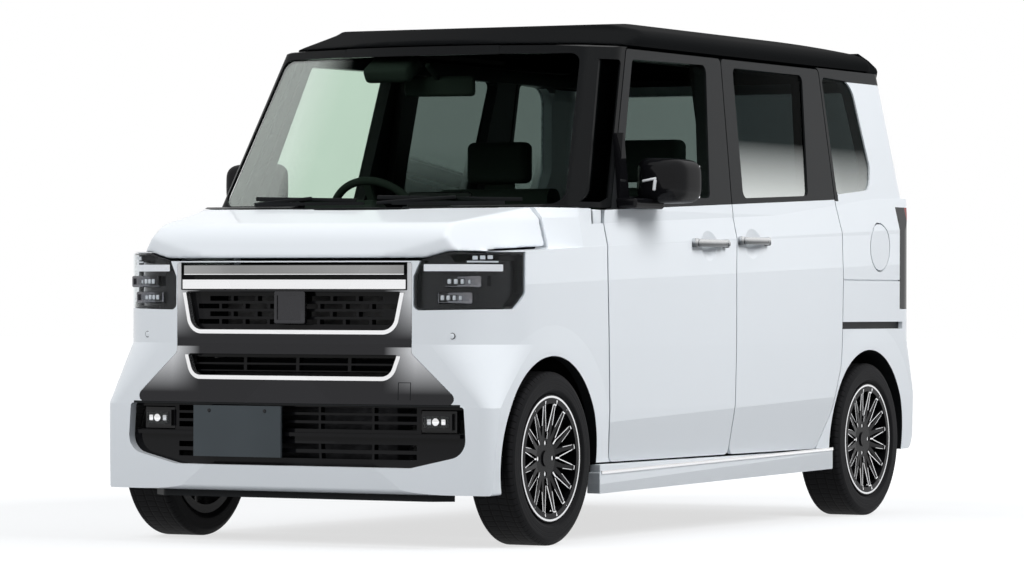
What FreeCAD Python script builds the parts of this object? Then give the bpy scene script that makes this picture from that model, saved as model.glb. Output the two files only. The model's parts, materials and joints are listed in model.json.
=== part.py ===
"""Tall kei wagon, built as separate panels, glass, trim and running gear.

Frame: millimetres, origin on the ground at the middle of the car's length and width.
+X is the car's left side, -Y its front and +Z up.
"""

import FreeCAD
import Part

import functools
import math
import os

Vector = FreeCAD.Vector

# ---- driving dimensions -------------------------------------------------------------------
LENGTH = 3395.0
WIDTH = 1475.0
HALF = WIDTH / 2
NOSE = -LENGTH / 2
TAIL = LENGTH / 2

FRONT_AXLE = -1265.0
REAR_AXLE = 1255.0
TYRE_RADIUS = 281.0
TYRE_WIDTH = 165.0
TRACK_HALF = 652.5
KINGPIN_X = 560.0
STEER_CLEAR = 400.0
FRONT_LIMIT = -1800.0
FRONT_BACK = -1500.0
FRONT_SKIN = 34.0
LEFT_LIMIT = 900.0
ARCH_RADIUS = 330.0

FLOOR_Z = 240.0
DOOR_THICK = 92.0
FRAME_THICK = 46.0
GLASS_THICK = 5.0
SEAM = 6.0
HINGE_SEAM = 8.0

CREASE_SLOPE = 0.0366
CREASE_LEAN = 0.235

# Corner tables hold (first axis, second axis, rounding radius) in X, Y, Z order.
SIDE_PROFILE = (
    (-1682, 172, 20), (-1701, 330, 120), (-1700, 620, 300), (-1686, 925, 20),
    (-1634, 1032, 120), (-1150, 1104, 60), (-860, 1090, 60), (1300, 1172, 60),
    (1648, 1180, 10), (1676, 745, 10), (1697.5, 690, 20), (1697.5, 330, 60), (1668, 238, 30),
)
SECTION = (
    (716, 172, 10), (733, 430, 300), (HALF, 640, 300), (HALF, 1260, 0),
)
# Bonnet shoulder at the nose and at the windscreen: x, and height over the pressed line.
NOSE_FRONT = ((548, 0), (470, 101), (275, 152))
NOSE_BACK = ((752, 0), (730, 98), (712, 173))
PLAN_LOW_Z = 450.0
PLAN_HIGH_Z = 650.0
PLAN_LOW = ((0, -1726, 4160), (HALF, -1650, 60), (HALF, TAIL, 50))
PLAN_HIGH = ((0, -1728, 3500), (HALF, -1630, 271), (HALF, TAIL, 128))
# Glasshouse outline: x and y at the low level, x and y at the high level, radius.
HOUSE_LOW_Z = 1000.0
HOUSE_HIGH_Z = 1800.0
HOUSE = (
    (0, -1294, 0, -820, 1500),
    (680.7, -1097, 553.8, -662, 45),
    (733.2, -975, 622.9, -545, 120),
    (733.2, 1684, 622.9, 1531, 60),
)
ROOF_SIDE = (
    (-1300, 900, 0), (-1300, 1640, 0), (-1000, 1650, 25), (-700, 1716, 120), (520, 1797, 5000),
    (1250, 1790, 900), (1575, 1696, 60), (1700, 1640, 0), (1700, 900, 0),
)
ROOF_SECTION = ((720, 900, 0), (720, 1550, 0), (628, 1708, 120), (0, 1846, 2400))
# Brow over the windscreen, laid out like the glasshouse between its own two levels.
BROW_LOW_Z = 1640.0
BROW_HIGH_Z = 1720.0
BROW = (
    (0, -985, 0, -775, 900),
    (580, -752, 480, -545, 80),
    (700, -540, 660, -250, 100),
    (700, 1800, 660, 1800, 20),
)


# ---- outlines and solids ------------------------------------------------------------------
def point(axis, level, first, second):
    """Point at a level along one axis, from the other two coordinates in X, Y, Z order."""
    if axis == "x":
        return Vector(level, first, second)
    if axis == "y":
        return Vector(first, level, second)
    return Vector(first, second, level)


def outline(axis, level, corners):
    """Closed wire round a table of corners, each rounded by its own radius."""
    stops = []
    count = len(corners)
    for index, corner in enumerate(corners):
        here = Vector(corner[0], corner[1], 0)
        radius = corner[2] if len(corner) > 2 else 0
        if radius <= 0:
            stops.append((here,))
            continue
        before = (Vector(*corners[index - 1][:2], 0) - here).normalize()
        after = (Vector(*corners[(index + 1) % count][:2], 0) - here).normalize()
        half_angle = before.getAngle(after) / 2
        run = radius / math.tan(half_angle)
        bisector = (before + after).normalize()
        middle = here + bisector * (radius / math.sin(half_angle) - radius)
        stops.append((here + before * run, middle, here + after * run))
    edges = []
    for index, stop in enumerate(stops):
        placed = [point(axis, level, each.x, each.y) for each in stop]
        if len(placed) == 3:
            edges.append(Part.Arc(*placed).toShape())
        following = stops[(index + 1) % count][0]
        start = placed[-1]
        end = point(axis, level, following.x, following.y)
        if start.distanceToPoint(end) > 0.001:
            edges.append(Part.LineSegment(start, end).toShape())
    return Part.Wire(edges)


def prism(axis, corners, low, high):
    """Solid with a table of corners as its outline, from low to high along the axis."""
    face = Part.Face(outline(axis, low, corners))
    return face.extrude(point(axis, high - low, 0, 0))


def block(low, high):
    """Box between two corners."""
    size = [top - bottom for bottom, top in zip(low, high)]
    return Part.makeBox(*size, Vector(*low))


def rod(radius, start, end):
    """Round bar between two points."""
    run = Vector(*end) - Vector(*start)
    return Part.makeCylinder(radius, run.Length, Vector(*start), run)


def front_room(corners):
    """Room through the car's nose with a table of corners as its outline."""
    return prism("y", corners, FRONT_LIMIT, FRONT_BACK)


def front_block(left, right, low, high):
    """Room through the car's nose between two widths and two heights."""
    return block((left, FRONT_LIMIT, low), (right, FRONT_BACK, high))


def mirrored(shape):
    """The same shape on the car's other side."""
    return shape.mirror(Vector(0, 0, 0), Vector(1, 0, 0))


def pair(shape):
    """Both sides' copies of a left-hand shape."""
    return Part.makeCompound([shape, mirrored(shape)])


def fused(shapes):
    """One shape from several that touch or overlap."""
    first, *others = list(shapes)
    return first.fuse(others).removeSplitter() if others else first


def across(corners):
    """A left-hand corner table closed with its mirror image over the middle plane."""
    right = [(-corner[0], *corner[1:]) for corner in reversed(corners) if corner[0] > 0]
    return list(corners) + right


def drawn_in(corners, inset):
    """A convex corner table with every side moved inwards."""
    count = len(corners)
    turn = 0.0
    for index, corner in enumerate(corners):
        following = corners[(index + 1) % count]
        turn += corner[0] * following[1] - following[0] * corner[1]
    side = 1.0 if turn > 0 else -1.0
    moved = []
    for index, corner in enumerate(corners):
        here = Vector(corner[0], corner[1], 0)
        before = (here - Vector(*corners[index - 1][:2], 0)).normalize()
        after = (Vector(*corners[(index + 1) % count][:2], 0) - here).normalize()
        inward_before = Vector(-before.y, before.x, 0) * side
        inward_after = Vector(-after.y, after.x, 0) * side
        mitre = (inward_before + inward_after).normalize()
        step = inset / mitre.dot(inward_before)
        place = here + mitre * step
        radius = corner[2] if len(corner) > 2 else 0
        moved.append((place.x, place.y, max(radius - inset, 4) if radius else 0))
    return moved


# ---- the car's outer and inner forms ------------------------------------------------------
def crease_z(y):
    """Height of the line pressed along the car's side."""
    return 972 + (y + 882) * CREASE_SLOPE


def shoulder_cut(inset):
    """Wedge that leans the left side inwards above the pressed line."""
    faces = []
    for y in (-1900, 1900):
        z = crease_z(y)
        top = z + 420
        corners = ((HALF - inset, z), (HALF + 90, z), (HALF + 90, top),
                   (HALF - inset - CREASE_LEAN * 420, top))
        faces.append(outline("y", y, corners))
    return Part.makeLoft(faces, True, True)


def nose_cut(inset):
    """Wedge that draws the bonnet's left shoulder in towards the nose."""
    faces = []
    for y, line in ((-1800, NOSE_FRONT), (-1000, NOSE_BACK)):
        low, middle, high = ((x - inset, crease_z(y) - inset + rise) for x, rise in line)
        corners = (low, (HALF + 120, low[1]), (HALF + 120, high[1]), high, middle)
        faces.append(outline("y", y, corners))
    return Part.makeLoft(faces, True, True)


@functools.lru_cache(maxsize=None)
def lower_form(side, ends):
    """Body below the windows, drawn in by the given amounts at the sides and the ends."""
    profile = prism("x", drawn_in(SIDE_PROFILE, ends), -HALF, HALF)
    section = prism("y", drawn_in(across(SECTION), side), FRONT_LIMIT, 1800)
    low = drawn_in(across(PLAN_LOW), side)
    high = drawn_in(across(PLAN_HIGH), side)
    plan = Part.makeLoft([outline("z", PLAN_LOW_Z, low), outline("z", PLAN_HIGH_Z, high)],
                         True, True)
    plan = fused([prism("z", low, 0, PLAN_LOW_Z), plan, prism("z", high, PLAN_HIGH_Z, 1400)])
    form = profile.common(section).common(plan)
    for cut in (shoulder_cut(side), nose_cut(side)):
        form = form.cut(cut).cut(mirrored(cut))
    return form


def brow_cut(inset):
    """Room over the roof's front edge, which slopes back and wraps round its corners."""
    drop = inset / 2
    low = drawn_in(across([(x, y, r) for x, y, _, _, r in BROW]), inset)
    high = drawn_in(across([(x, y, r) for _, _, x, y, r in BROW]), inset)
    brow = Part.makeLoft([outline("z", BROW_LOW_Z - drop, low),
                          outline("z", BROW_HIGH_Z - drop, high)], True, True)
    brow = fused([brow, prism("z", high, BROW_HIGH_Z - drop, 1900)])
    return block((-900, -1400, BROW_LOW_Z - drop), (900, 600, 1860)).cut(brow)


@functools.lru_cache(maxsize=None)
def glasshouse(inset):
    """Upper body with its raked, curved front and leaning sides, drawn in all round."""
    low = drawn_in(across([(x, y, r) for x, y, _, _, r in HOUSE]), inset)
    high = drawn_in(across([(x, y, r) for _, _, x, y, r in HOUSE]), inset)
    wires = [outline("z", HOUSE_LOW_Z, low), outline("z", HOUSE_HIGH_Z, high)]
    tower = Part.makeLoft(wires, True, True)
    side = prism("x", drawn_in(ROOF_SIDE, inset), -HALF, HALF)
    section = prism("y", drawn_in(across(ROOF_SECTION), inset), FRONT_LIMIT, 1800)
    return tower.common(side).common(section).cut(brow_cut(inset))


# ---- outlines of the openings, seen from the left side: y, z, radius -----------------------
FRONT_DOOR = (
    (-842, 258, 30), (-866, 621, 900), (-882, 969, 900), (-873, 1092, 8), (-826, 1096, 8),
    (-568, 1640, 20), (160, 1640, 20), (109, 1131, 300), (103, 913, 300), (104, 430, 60),
    (66, 258, 30),
)
FRONT_WINDOW = ((-748, 1140, 15), (-534, 1606, 25), (38, 1612, 25), (-60, 1146, 25))
SLIDING_DOOR = (
    (72, 258, 30), (110, 430, 60), (109, 913, 300), (115, 1131, 300), (166, 1640, 20),
    (986, 1640, 20), (992, 1155, 300), (1012, 870, 300), (1000, 560, 200), (930, 400, 300),
    (800, 258, 40),
)
SLIDING_WINDOW = ((212, 1152, 25), (252, 1612, 25), (840, 1612, 25), (762, 1172, 25))
REAR_WINDOW = ((1020, 1182, 20), (1010, 1614, 25), (1270, 1606, 90), (1352, 1290, 60),
               (1322, 1206, 60))
QUARTER_WINDOW = ((-1044, 1116, 12), (-890, 1116, 12), (-840, 1130, 12), (-618, 1600, 12),
                  (-776, 1600, 12))
# Outlines seen from the front, left half: x, z, radius.
SCREEN = ((657, 1108, 40), (572, 1618, 40))
MASK = ((440, 912, 8), (440, 621, 20), (622, 457, 20))
MASK_UPPER = ((402, 818, 6), (376, 694, 45))
MASK_MIDDLE = ((392, 616, 6), (368, 546, 40))
MOUTH = ((624, 452, 10), (634, 300, 60), (440, 256, 60))
LAMP = ((444, 758, 20), (444, 866, 10), (470, 922, 15), (560, 946, 20), (900, 946, 0),
        (900, 766, 0))
LAMP_SIDE = ((-1800, 700, 0), (-1800, 960, 0), (-1450, 960, 0), (-1450, 812, 30), (-1496, 764, 30),
             (-1560, 740, 0), (-1560, 700, 0))
BAR_GAP = ((424, 930, 0), (424, 822, 4))
BARS = ((872, 902, 412), (826, 856, 418))
UPPER_SLOTS = (720, 745, 770, 795)
MIDDLE_SLOTS = (572, 596)
MIDDLE_SPANS = ((-380, -190), (-178, 10), (22, 200), (212, 380))
LOWER_SLOTS = (290, 320, 385, 412, 438)
LOWER_SPANS = ((-446, -200), (-192, 96), (104, 290), (298, 446))
SLOT_HALF = 9.0
LAMP_MODULES = ((533, 655, 836, 868), (522, 627, 784, 815))
BACK_DOOR = ((604, 1660, 0), (604, 762, 20), (560, 700, 20))
BACK_WINDOW = ((556, 1580, 40), (580, 1160, 60))
TAIL_LAMP = ((610, 763, 0), (900, 763, 0), (900, 1146, 0), (610, 1146, 0))

HOOD_EDGE = ((-1800, 925, 0), (-1800, 1300, 0), (-1212, 1300, 0), (-1212, 1080, 100),
             (-1230, 966, 12), (-1460, 955, 0), (-1640, 925, 0))
HOOD_ROOM = ((-1800, 917, 0), (-1800, 1300, 0), (-1204, 1300, 0), (-1204, 1080, 100),
             (-1222, 959, 12), (-1460, 948, 0), (-1640, 917, 0))
FENDER_EDGE = ((-1500, 740, 0), (-1460, 717, 0), (-1396, 590, 0), (-1396, 258, 0),
               (-700, 258, 0), (-700, 1094, 0), (-1500, 1094, 0))
BUMPER_EDGE = ((-1800, 150, 0), (-1800, 916, 0), (-1500, 916, 0), (-1500, 740, 0),
               (-1460, 717, 0), (-1396, 590, 0), (-1396, 150, 0))
ROOF_EDGE = ((-1000, 1646, 0), (-1000, 1900, 0), (1484, 1900, 0), (1484, 1646, 0))
REAR_BUMPER_EDGE = ((1500, 150, 0), (1560, 755, 0), (1640, 755, 0), (1640, 690, 0),
                    (1800, 690, 0), (1800, 150, 0))
SPOILER_SIDE = ((1492, 1640, 0), (1492, 1724, 0), (1570, 1700, 60), (1625, 1672, 12),
                (1613, 1618, 10), (1575, 1640, 10))
SPOILER_FRONT = ((598, 1600, 0), (604, 1660, 0), (560, 1790, 60))
SKIN_THICK = 14.0
EDGE_STEP = 5.0
LIP_Z = 150.0
RIM_WIDTH = 13.0
RIM_PROUD = 4.0
PILLAR_WIDTH = 40.0
RAIL_DEPTH = 16.0
LINE_DEPTH = 6.0
CUP_REACH = 62.0
CUP_DEPTH = 14.0
CUP_PLACES = ((-114, 990), (240, 1002))
FUEL_LID_RADIUS = 86.0
FUEL_LID_Y = 1347.0
FUEL_LID_Z = 993.0
STEERING_CENTRE = (-340, -520, 1045)
STEERING_TILT = 62.0
TOW_EYE_RADIUS = 14.0
SPOKE_COUNT = 8
FORK_TIP = 11.25
FORK_FOOT = 17.0
HUB_FACE = 56.0
RIM_FACE = 72.0
LUG_COUNT = 4
LUG_CIRCLE = 100.0
LUG_POCKET = 9.0


def wall(side, ends, frame):
    """Whole body wall: the outer form less an inner one of the given thicknesses."""
    outer = lower_form(0, 0).fuse(glasshouse(0))
    inner = lower_form(side, ends).fuse(glasshouse(frame))
    return outer.cut(inner)


def largest(shape):
    """The biggest solid of a shape, without any slivers a cut has left."""
    return max(shape.Solids, key=lambda solid: solid.Volume)


def arch(axle_y, inner_x):
    """Left wheel arch as a drum across the car's side."""
    return rod(ARCH_RADIUS, (inner_x, axle_y, TYRE_RADIUS), (900, axle_y, TYRE_RADIUS))


def grown(corners, amount):
    """Corner table with every side moved outwards."""
    return drawn_in(corners, -amount)


def turned(corners, centre):
    """Ring or drum about the X direction: corners are x from the centre, distance, radius."""
    face = Part.Face(outline("z", 0, corners))
    ring = face.revolve(Vector(0, 0, 0), Vector(1, 0, 0), 360)
    ring.translate(Vector(*centre))
    return ring


def left_half(shape):
    """The part of a shape on the car's left side."""
    return shape.common(block((8, -1900, 0), (900, 1900, 1900)))


def rounded_block(low, high, radius):
    """Box with all its edges rounded."""
    shape = block(low, high)
    return shape.makeFillet(radius, shape.Edges)


# ---- body panels ---------------------------------------------------------------------------
def door_zone(corners, window):
    """Room of one left door: a full-size skin over a body drawn in all round its edge."""
    inside = lower_form(SKIN_THICK, SKIN_THICK).fuse(glasshouse(SKIN_THICK))
    edge = prism("x", corners, 580, 900)
    step = edge.cut(prism("x", drawn_in(corners, EDGE_STEP), 500, 950)).common(inside)
    return edge.cut(step).cut(prism("x", window, 500, 950))


def build_doors(left):
    """Front doors and sliding doors from the wall's left half, with their window openings."""
    door = left.common(door_zone(FRONT_DOOR, FRONT_WINDOW))
    sliding = left.common(door_zone(SLIDING_DOOR, SLIDING_WINDOW))
    door = largest(door).cut(handle_cup(*CUP_PLACES[0]))
    sliding = largest(sliding).cut(handle_cup(*CUP_PLACES[1]))
    return {
        "front_door_left": largest(door),
        "front_door_right": mirrored(largest(door)),
        "sliding_doors": pair(largest(sliding)),
    }


def handle_cup(y, z):
    """Ball that leaves a shallow round dish behind a door handle."""
    radius = (CUP_REACH ** 2 + CUP_DEPTH ** 2) / (2 * CUP_DEPTH)
    return Part.makeSphere(radius, Vector(HALF - CUP_DEPTH + radius, y, z))


def quarter_window():
    """Room for the small window between the left windscreen pillar and the front door."""
    room = prism("x", QUARTER_WINDOW, 500, LEFT_LIMIT)
    return room.cut(prism("y", grown(across(SCREEN), PILLAR_WIDTH), -1400, -400))


def build_pillars(left):
    """Windscreen pillars with their small windows, and the posts between the doors."""
    front = ((-1300, 1098, 0), (-1300, 1646, 0), (-560, 1646, 0), (-560, 1098, 0))
    pillar = left.common(prism("x", front, 300, 900))
    pillar = pillar.cut(prism("x", grown(FRONT_DOOR, SEAM), 0, LEFT_LIMIT))
    pillar = pillar.cut(prism("y", across(SCREEN), -1400, -400))
    pillar = pillar.cut(quarter_window())
    upper = glasshouse(FRAME_THICK + 6).cut(glasshouse(FRAME_THICK + 36))
    lower = lower_form(DOOR_THICK + 6, DOOR_THICK)
    lower = lower.cut(lower_form(DOOR_THICK + 36, DOOR_THICK)).cut(glasshouse(FRAME_THICK + 36))
    post = upper.fuse(lower).common(block((550, 70, FLOOR_Z + 10), (900, 160, 1646)))
    return {"pillars": Part.makeCompound([largest(pillar), mirrored(largest(pillar)),
                                          largest(post), mirrored(largest(post))])}


def build_quarters(left):
    """Rear side panels with the wheel arch, the side window and the fuel lid's recess."""
    quarter = left.common(block((600, 812, 258), (900, 1672, 1646)))
    quarter = quarter.cut(block((0, 700, 200), (646, 1590, 900)))
    quarter = quarter.cut(prism("x", grown(SLIDING_DOOR, SEAM), 0, LEFT_LIMIT))
    quarter = quarter.cut(prism("y", grown(across(BACK_DOOR), SEAM), 1300, 1800))
    quarter = quarter.cut(prism("x", REAR_WINDOW, 0, LEFT_LIMIT)).cut(arch(REAR_AXLE, 440))
    quarter = quarter.cut(prism("y", TAIL_LAMP, 1530, 1800))
    quarter = largest(quarter.cut(prism("x", REAR_BUMPER_EDGE, 0, LEFT_LIMIT)))
    well = rod(FUEL_LID_RADIUS + SEAM, (HALF - 60, FUEL_LID_Y, FUEL_LID_Z),
               (900, FUEL_LID_Y, FUEL_LID_Z))
    slot = block((HALF - RAIL_DEPTH, 1000, 690), (900, 1562, 716))
    line = block((HALF - LINE_DEPTH, 1000, 868), (900, 1546, 872))
    quarter = quarter.cut(slot).cut(line)
    return {"rear_quarters": Part.makeCompound([quarter.cut(well), mirrored(quarter)])}


def lamp_room(gap):
    """Room of the left headlamp, drawn in by a gap."""
    front = prism("y", grown(LAMP, -gap), FRONT_LIMIT, -1400)
    return front.common(prism("x", drawn_in(LAMP_SIDE, gap), 300, 900))


def build_front(outer):
    """Front fenders, bumper, bonnet and cowl."""
    skin = outer.cut(lower_form(FRONT_SKIN, FRONT_SKIN))
    lamp = lamp_room(0).fuse(mirrored(lamp_room(0)))
    wells = arch(FRONT_AXLE, STEER_CLEAR).fuse(mirrored(arch(FRONT_AXLE, STEER_CLEAR)))
    hood_zone = prism("x", HOOD_EDGE, -LEFT_LIMIT, LEFT_LIMIT)
    hood = outer.cut(lower_form(24, 24)).common(hood_zone).cut(glasshouse(-62))
    hood = largest(hood.cut(lamp))
    hood_room = prism("x", HOOD_ROOM, -LEFT_LIMIT, LEFT_LIMIT)
    fender_zone = prism("x", FENDER_EDGE, 500, LEFT_LIMIT)
    fender = skin.common(fender_zone).cut(hood_room).cut(wells).cut(glasshouse(0))
    fender = largest(fender.cut(prism("x", grown(FRONT_DOOR, HINGE_SEAM), 0, LEFT_LIMIT)).cut(lamp))
    bumper = skin.common(prism("x", BUMPER_EDGE, -LEFT_LIMIT, LEFT_LIMIT)).cut(wells).cut(lamp)
    bumper = bumper.cut(front_room(across(MASK)))
    bumper = largest(bumper.cut(front_room(across(MOUTH))).cut(hood_room))
    lip = prism("z", ((-560, -1600, 0), (-500, -1650, 30), (500, -1650, 30), (560, -1600, 0)),
                LIP_Z, 190)
    bumper = bumper.fuse(lip)
    cowl = lower_form(0, 0).cut(lower_form(40, 40)).common(glasshouse(-56))
    cowl = cowl.cut(glasshouse(0)).common(block((-640, -1204, 1000), (640, -950, 1097)))
    cowl = cowl.cut(pair(fender))
    return {
        "bonnet": hood,
        "front_fenders": pair(fender),
        "front_bumper": bumper,
        "cowl": largest(cowl),
    }


def build_roof(thick):
    """Roof panel down to the top of the doors."""
    zone = prism("x", ROOF_EDGE, -LEFT_LIMIT, LEFT_LIMIT)
    return {"roof": largest(thick.common(zone))}


def build_glass():
    """Windscreen, fixed side windows and the front doors' windows."""
    sheet = glasshouse(6).cut(glasshouse(6 + GLASS_THICK))
    screen = sheet.common(prism("y", across(SCREEN), -1400, -500))
    rooms = [quarter_window(), prism("x", SLIDING_WINDOW, 500, LEFT_LIMIT),
             prism("x", REAR_WINDOW, 500, LEFT_LIMIT)]
    panes = [largest(left_half(sheet).common(room)) for room in rooms]
    door = largest(left_half(sheet).common(prism("x", FRONT_WINDOW, 500, LEFT_LIMIT)))
    sides = panes + [mirrored(pane) for pane in panes]
    return {
        "windscreen": largest(screen),
        "side_windows": Part.makeCompound(sides),
        "door_glass_left": door,
        "door_glass_right": mirrored(door),
    }


def rim_strip(opening):
    """Bright strip round the sides and bottom of a grille opening, standing a little proud."""
    around = grown(across(opening), RIM_WIDTH)
    strip = front_room(around).cut(front_room(across(opening)))
    strip = strip.common(front_block(-600, 600, 500, opening[0][1] - 4))
    return largest(lower_form(-RIM_PROUD, -RIM_PROUD).cut(lower_form(20, 20)).common(strip))


def staggered_slots(rows, pitch, gap, height):
    """Rows of short slots for the grille mesh, each row shifted by half a step."""
    slots = []
    for row, z in enumerate(rows):
        start = -374 + (row % 2) * pitch / 2
        while start + pitch - gap < 378:
            slots.append(front_block(start, start + pitch - gap, z - height, z + height))
            start += pitch
    return Part.makeCompound(slots)


def build_face(outer):
    """Grille mask, bright bars and strips, mesh, lower grille, lamps and the blank plate."""
    layer = outer.cut(lower_form(FRONT_SKIN, FRONT_SKIN))
    strips = [rim_strip(MASK_UPPER), rim_strip(MASK_MIDDLE)]
    mask = layer.common(front_room(grown(across(MASK), -1)))
    mask = mask.cut(front_room(across(MASK_UPPER)))
    mask = mask.cut(front_room(across(MASK_MIDDLE)))
    mask = mask.cut(front_room(across(BAR_GAP)))
    mask = largest(mask.cut(strips))
    back = lower_form(FRONT_SKIN, FRONT_SKIN).cut(lower_form(60, 60))
    mesh = back.common(front_block(-430, 430, 560, 905))
    mesh = mesh.cut(staggered_slots(UPPER_SLOTS, 94, 10, 8))
    for low, high in MIDDLE_SPANS:
        for z in MIDDLE_SLOTS:
            mesh = mesh.cut(front_block(low, high, z - SLOT_HALF, z + SLOT_HALF))
    bars = []
    for low, high, reach in BARS:
        bars.append(largest(layer.common(front_block(-reach, reach, low, high))))
    lower = back.common(block((-640, FRONT_LIMIT, 258), (640, -1577, 470)))
    blade = lower_form(16, 16).cut(lower_form(50, 50))
    blade = blade.common(block((-604, FRONT_LIMIT, 352), (604, -1577, 364)))
    lower = lower.cut(front_block(462, 640, 366, 442))
    lower = lower.cut(front_block(-640, -462, 366, 442))
    for z in LOWER_SLOTS:
        for low, high in LOWER_SPANS:
            lower = lower.cut(front_block(low, high, z - SLOT_HALF, z + SLOT_HALF))
    lower = lower.fuse(blade)
    lens = largest(outer.cut(lower_form(5, 5)).common(lamp_room(3)))
    behind = lower_form(FRONT_SKIN, FRONT_SKIN)
    bowl = behind.cut(lower_form(60, 60)).common(lamp_room(3))
    rim = lower_form(5, 5).cut(behind).common(lamp_room(3)).cut(lamp_room(9))
    modules = [lower_form(16, 16).cut(lower_form(40, 40)).common(
        front_block(left, right, low, high))
        for left, right, low, high in LAMP_MODULES]
    bowl = largest(bowl.fuse([rim] + modules))
    fog = lower_form(20, 20).cut(behind).common(front_block(470, 574, 378, 430))
    fog = fog.fuse(behind.cut(lower_form(56, 56)).common(
        front_block(464, 584, 370, 438)))
    plate = block((-350, -1712, 283), (-20, -1702, 448))
    return {
        "grille_mask": mask,
        "grille_mesh": Part.makeCompound([largest(mesh), largest(lower)]),
        "grille_bars": Part.makeCompound(bars + strips),
        "headlamp_lenses": pair(lens),
        "headlamp_bowls": pair(bowl),
        "fog_lamps": pair(largest(fog)),
        "front_plate": plate,
    }


def build_rear(outer, thick):
    """Tailgate with its window and spoiler, tail lamps, rear bumper and fuel lid."""
    gate_zone = prism("y", across(BACK_DOOR), 1492, 1800)
    gate_zone = gate_zone.common(block((-900, 1400, 704), (900, 1900, 1640)))
    gate_zone = gate_zone.cut(prism("y", across(BACK_WINDOW), 1300, 1900))
    gate = largest(thick.common(gate_zone))
    sheet = glasshouse(6).cut(glasshouse(6 + GLASS_THICK))
    glass = largest(sheet.common(prism("y", across(BACK_WINDOW), 1400, 1800)))
    spoiler = prism("x", SPOILER_SIDE, -LEFT_LIMIT, LEFT_LIMIT).common(prism("y", across(SPOILER_FRONT),
                                                               1300, 1800))
    spoiler = largest(spoiler.cut(gate))
    lamp = outer.cut(lower_form(60, 60)).common(prism("y", TAIL_LAMP, 1532, 1800))
    bumper = outer.cut(lower_form(60, 60)).common(prism("x", REAR_BUMPER_EDGE, -LEFT_LIMIT, LEFT_LIMIT))
    bumper = bumper.cut(prism("y", grown(across(BACK_DOOR), SEAM), 1300, 1800))
    bumper = bumper.cut(block((-646, 1300, 100), (646, 1637, 700)))
    bumper = largest(bumper.cut(arch(REAR_AXLE, 440)).cut(mirrored(arch(REAR_AXLE, 440))))
    disc = rod(FUEL_LID_RADIUS, (HALF - 60, FUEL_LID_Y, FUEL_LID_Z),
               (900, FUEL_LID_Y, FUEL_LID_Z))
    lid = largest(outer.cut(lower_form(8, 8)).common(disc))
    return {
        "tailgate": gate,
        "tailgate_glass": glass,
        "spoiler": spoiler,
        "tail_lamps": pair(largest(lamp)),
        "rear_bumper": bumper,
        "fuel_lid": lid,
    }


def build_skirts():
    """Side skirts under the doors."""
    skirt = prism("x", ((-935, 156, 4), (-935, 226, 4), (925, 254, 4), (925, 182, 4)), 690, 736)
    return {"side_skirts": pair(skirt)}


# ---- inside --------------------------------------------------------------------------------
def build_cabin():
    """Dashboard, seats and the steering wheel with its column."""
    dash = prism("x", ((-925, 700, 30), (-925, 1060, 30), (-700, 1045, 60), (-620, 900, 60),
                       (-640, 700, 40)), -576, 576)
    seats = []
    for x in (-310, 310):
        cushion = rounded_block((x - 235, -250, 470), (x + 235, 250, 600), 30)
        rest = prism("x", ((190, 560, 30), (250, 1195, 40), (350, 1195, 40), (330, 560, 30)),
                     x - 225, x + 225)
        head = rounded_block((x - 120, 262, 1215), (x + 120, 348, 1365), 25)
        post = block((x - 60, 300, 1180), (x + 60, 312, 1230))
        seats.append(fused([cushion, rest, post, head]))
        legs = block((x - 200, -200, FLOOR_Z + 10), (x + 200, 200, 475))
        seats[-1] = fused([seats[-1], legs])
    rear = prism("x", ((700, 470, 30), (700, 600, 30), (1130, 610, 30), (1220, 1120, 40),
                       (1300, 1120, 40), (1240, 471, 30)), -560, 560)
    rear = fused([rear, block((-540, 720, FLOOR_Z + 10), (540, 935, 480)),
                  block((-420, 945, 445), (420, 1180, 480))])
    for x in (-700, 436):
        rear = rear.cut(rod(ARCH_RADIUS + 15, (x, REAR_AXLE, TYRE_RADIUS),
                            (x + 264, REAR_AXLE, TYRE_RADIUS)))
    seats.append(rear)
    wheel = turned_wheel()
    return {
        "dashboard": dash,
        "seats": Part.makeCompound(seats),
        "steering_wheel": wheel,
    }


def turned_wheel():
    """Steering wheel: rim, three spokes and hub, made flat and then tilted to the driver."""
    rim = Part.makeTorus(180, 14, Vector(0, 0, 0), Vector(0, 0, 1))
    hub = Part.makeCylinder(55, 36, Vector(0, 0, -30))
    spokes = [block((40, -16, -9), (176, 16, 5)), block((-176, -16, -9), (-40, 16, 5)),
              block((-14, -176, -9), (14, -40, 5))]
    column = Part.makeCylinder(22, 90, Vector(0, 0, -120))
    wheel = fused([rim, hub, column] + spokes)
    wheel.rotate(Vector(0, 0, 0), Vector(1, 0, 0), -STEERING_TILT)
    wheel.translate(Vector(*STEERING_CENTRE))
    return wheel


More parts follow.
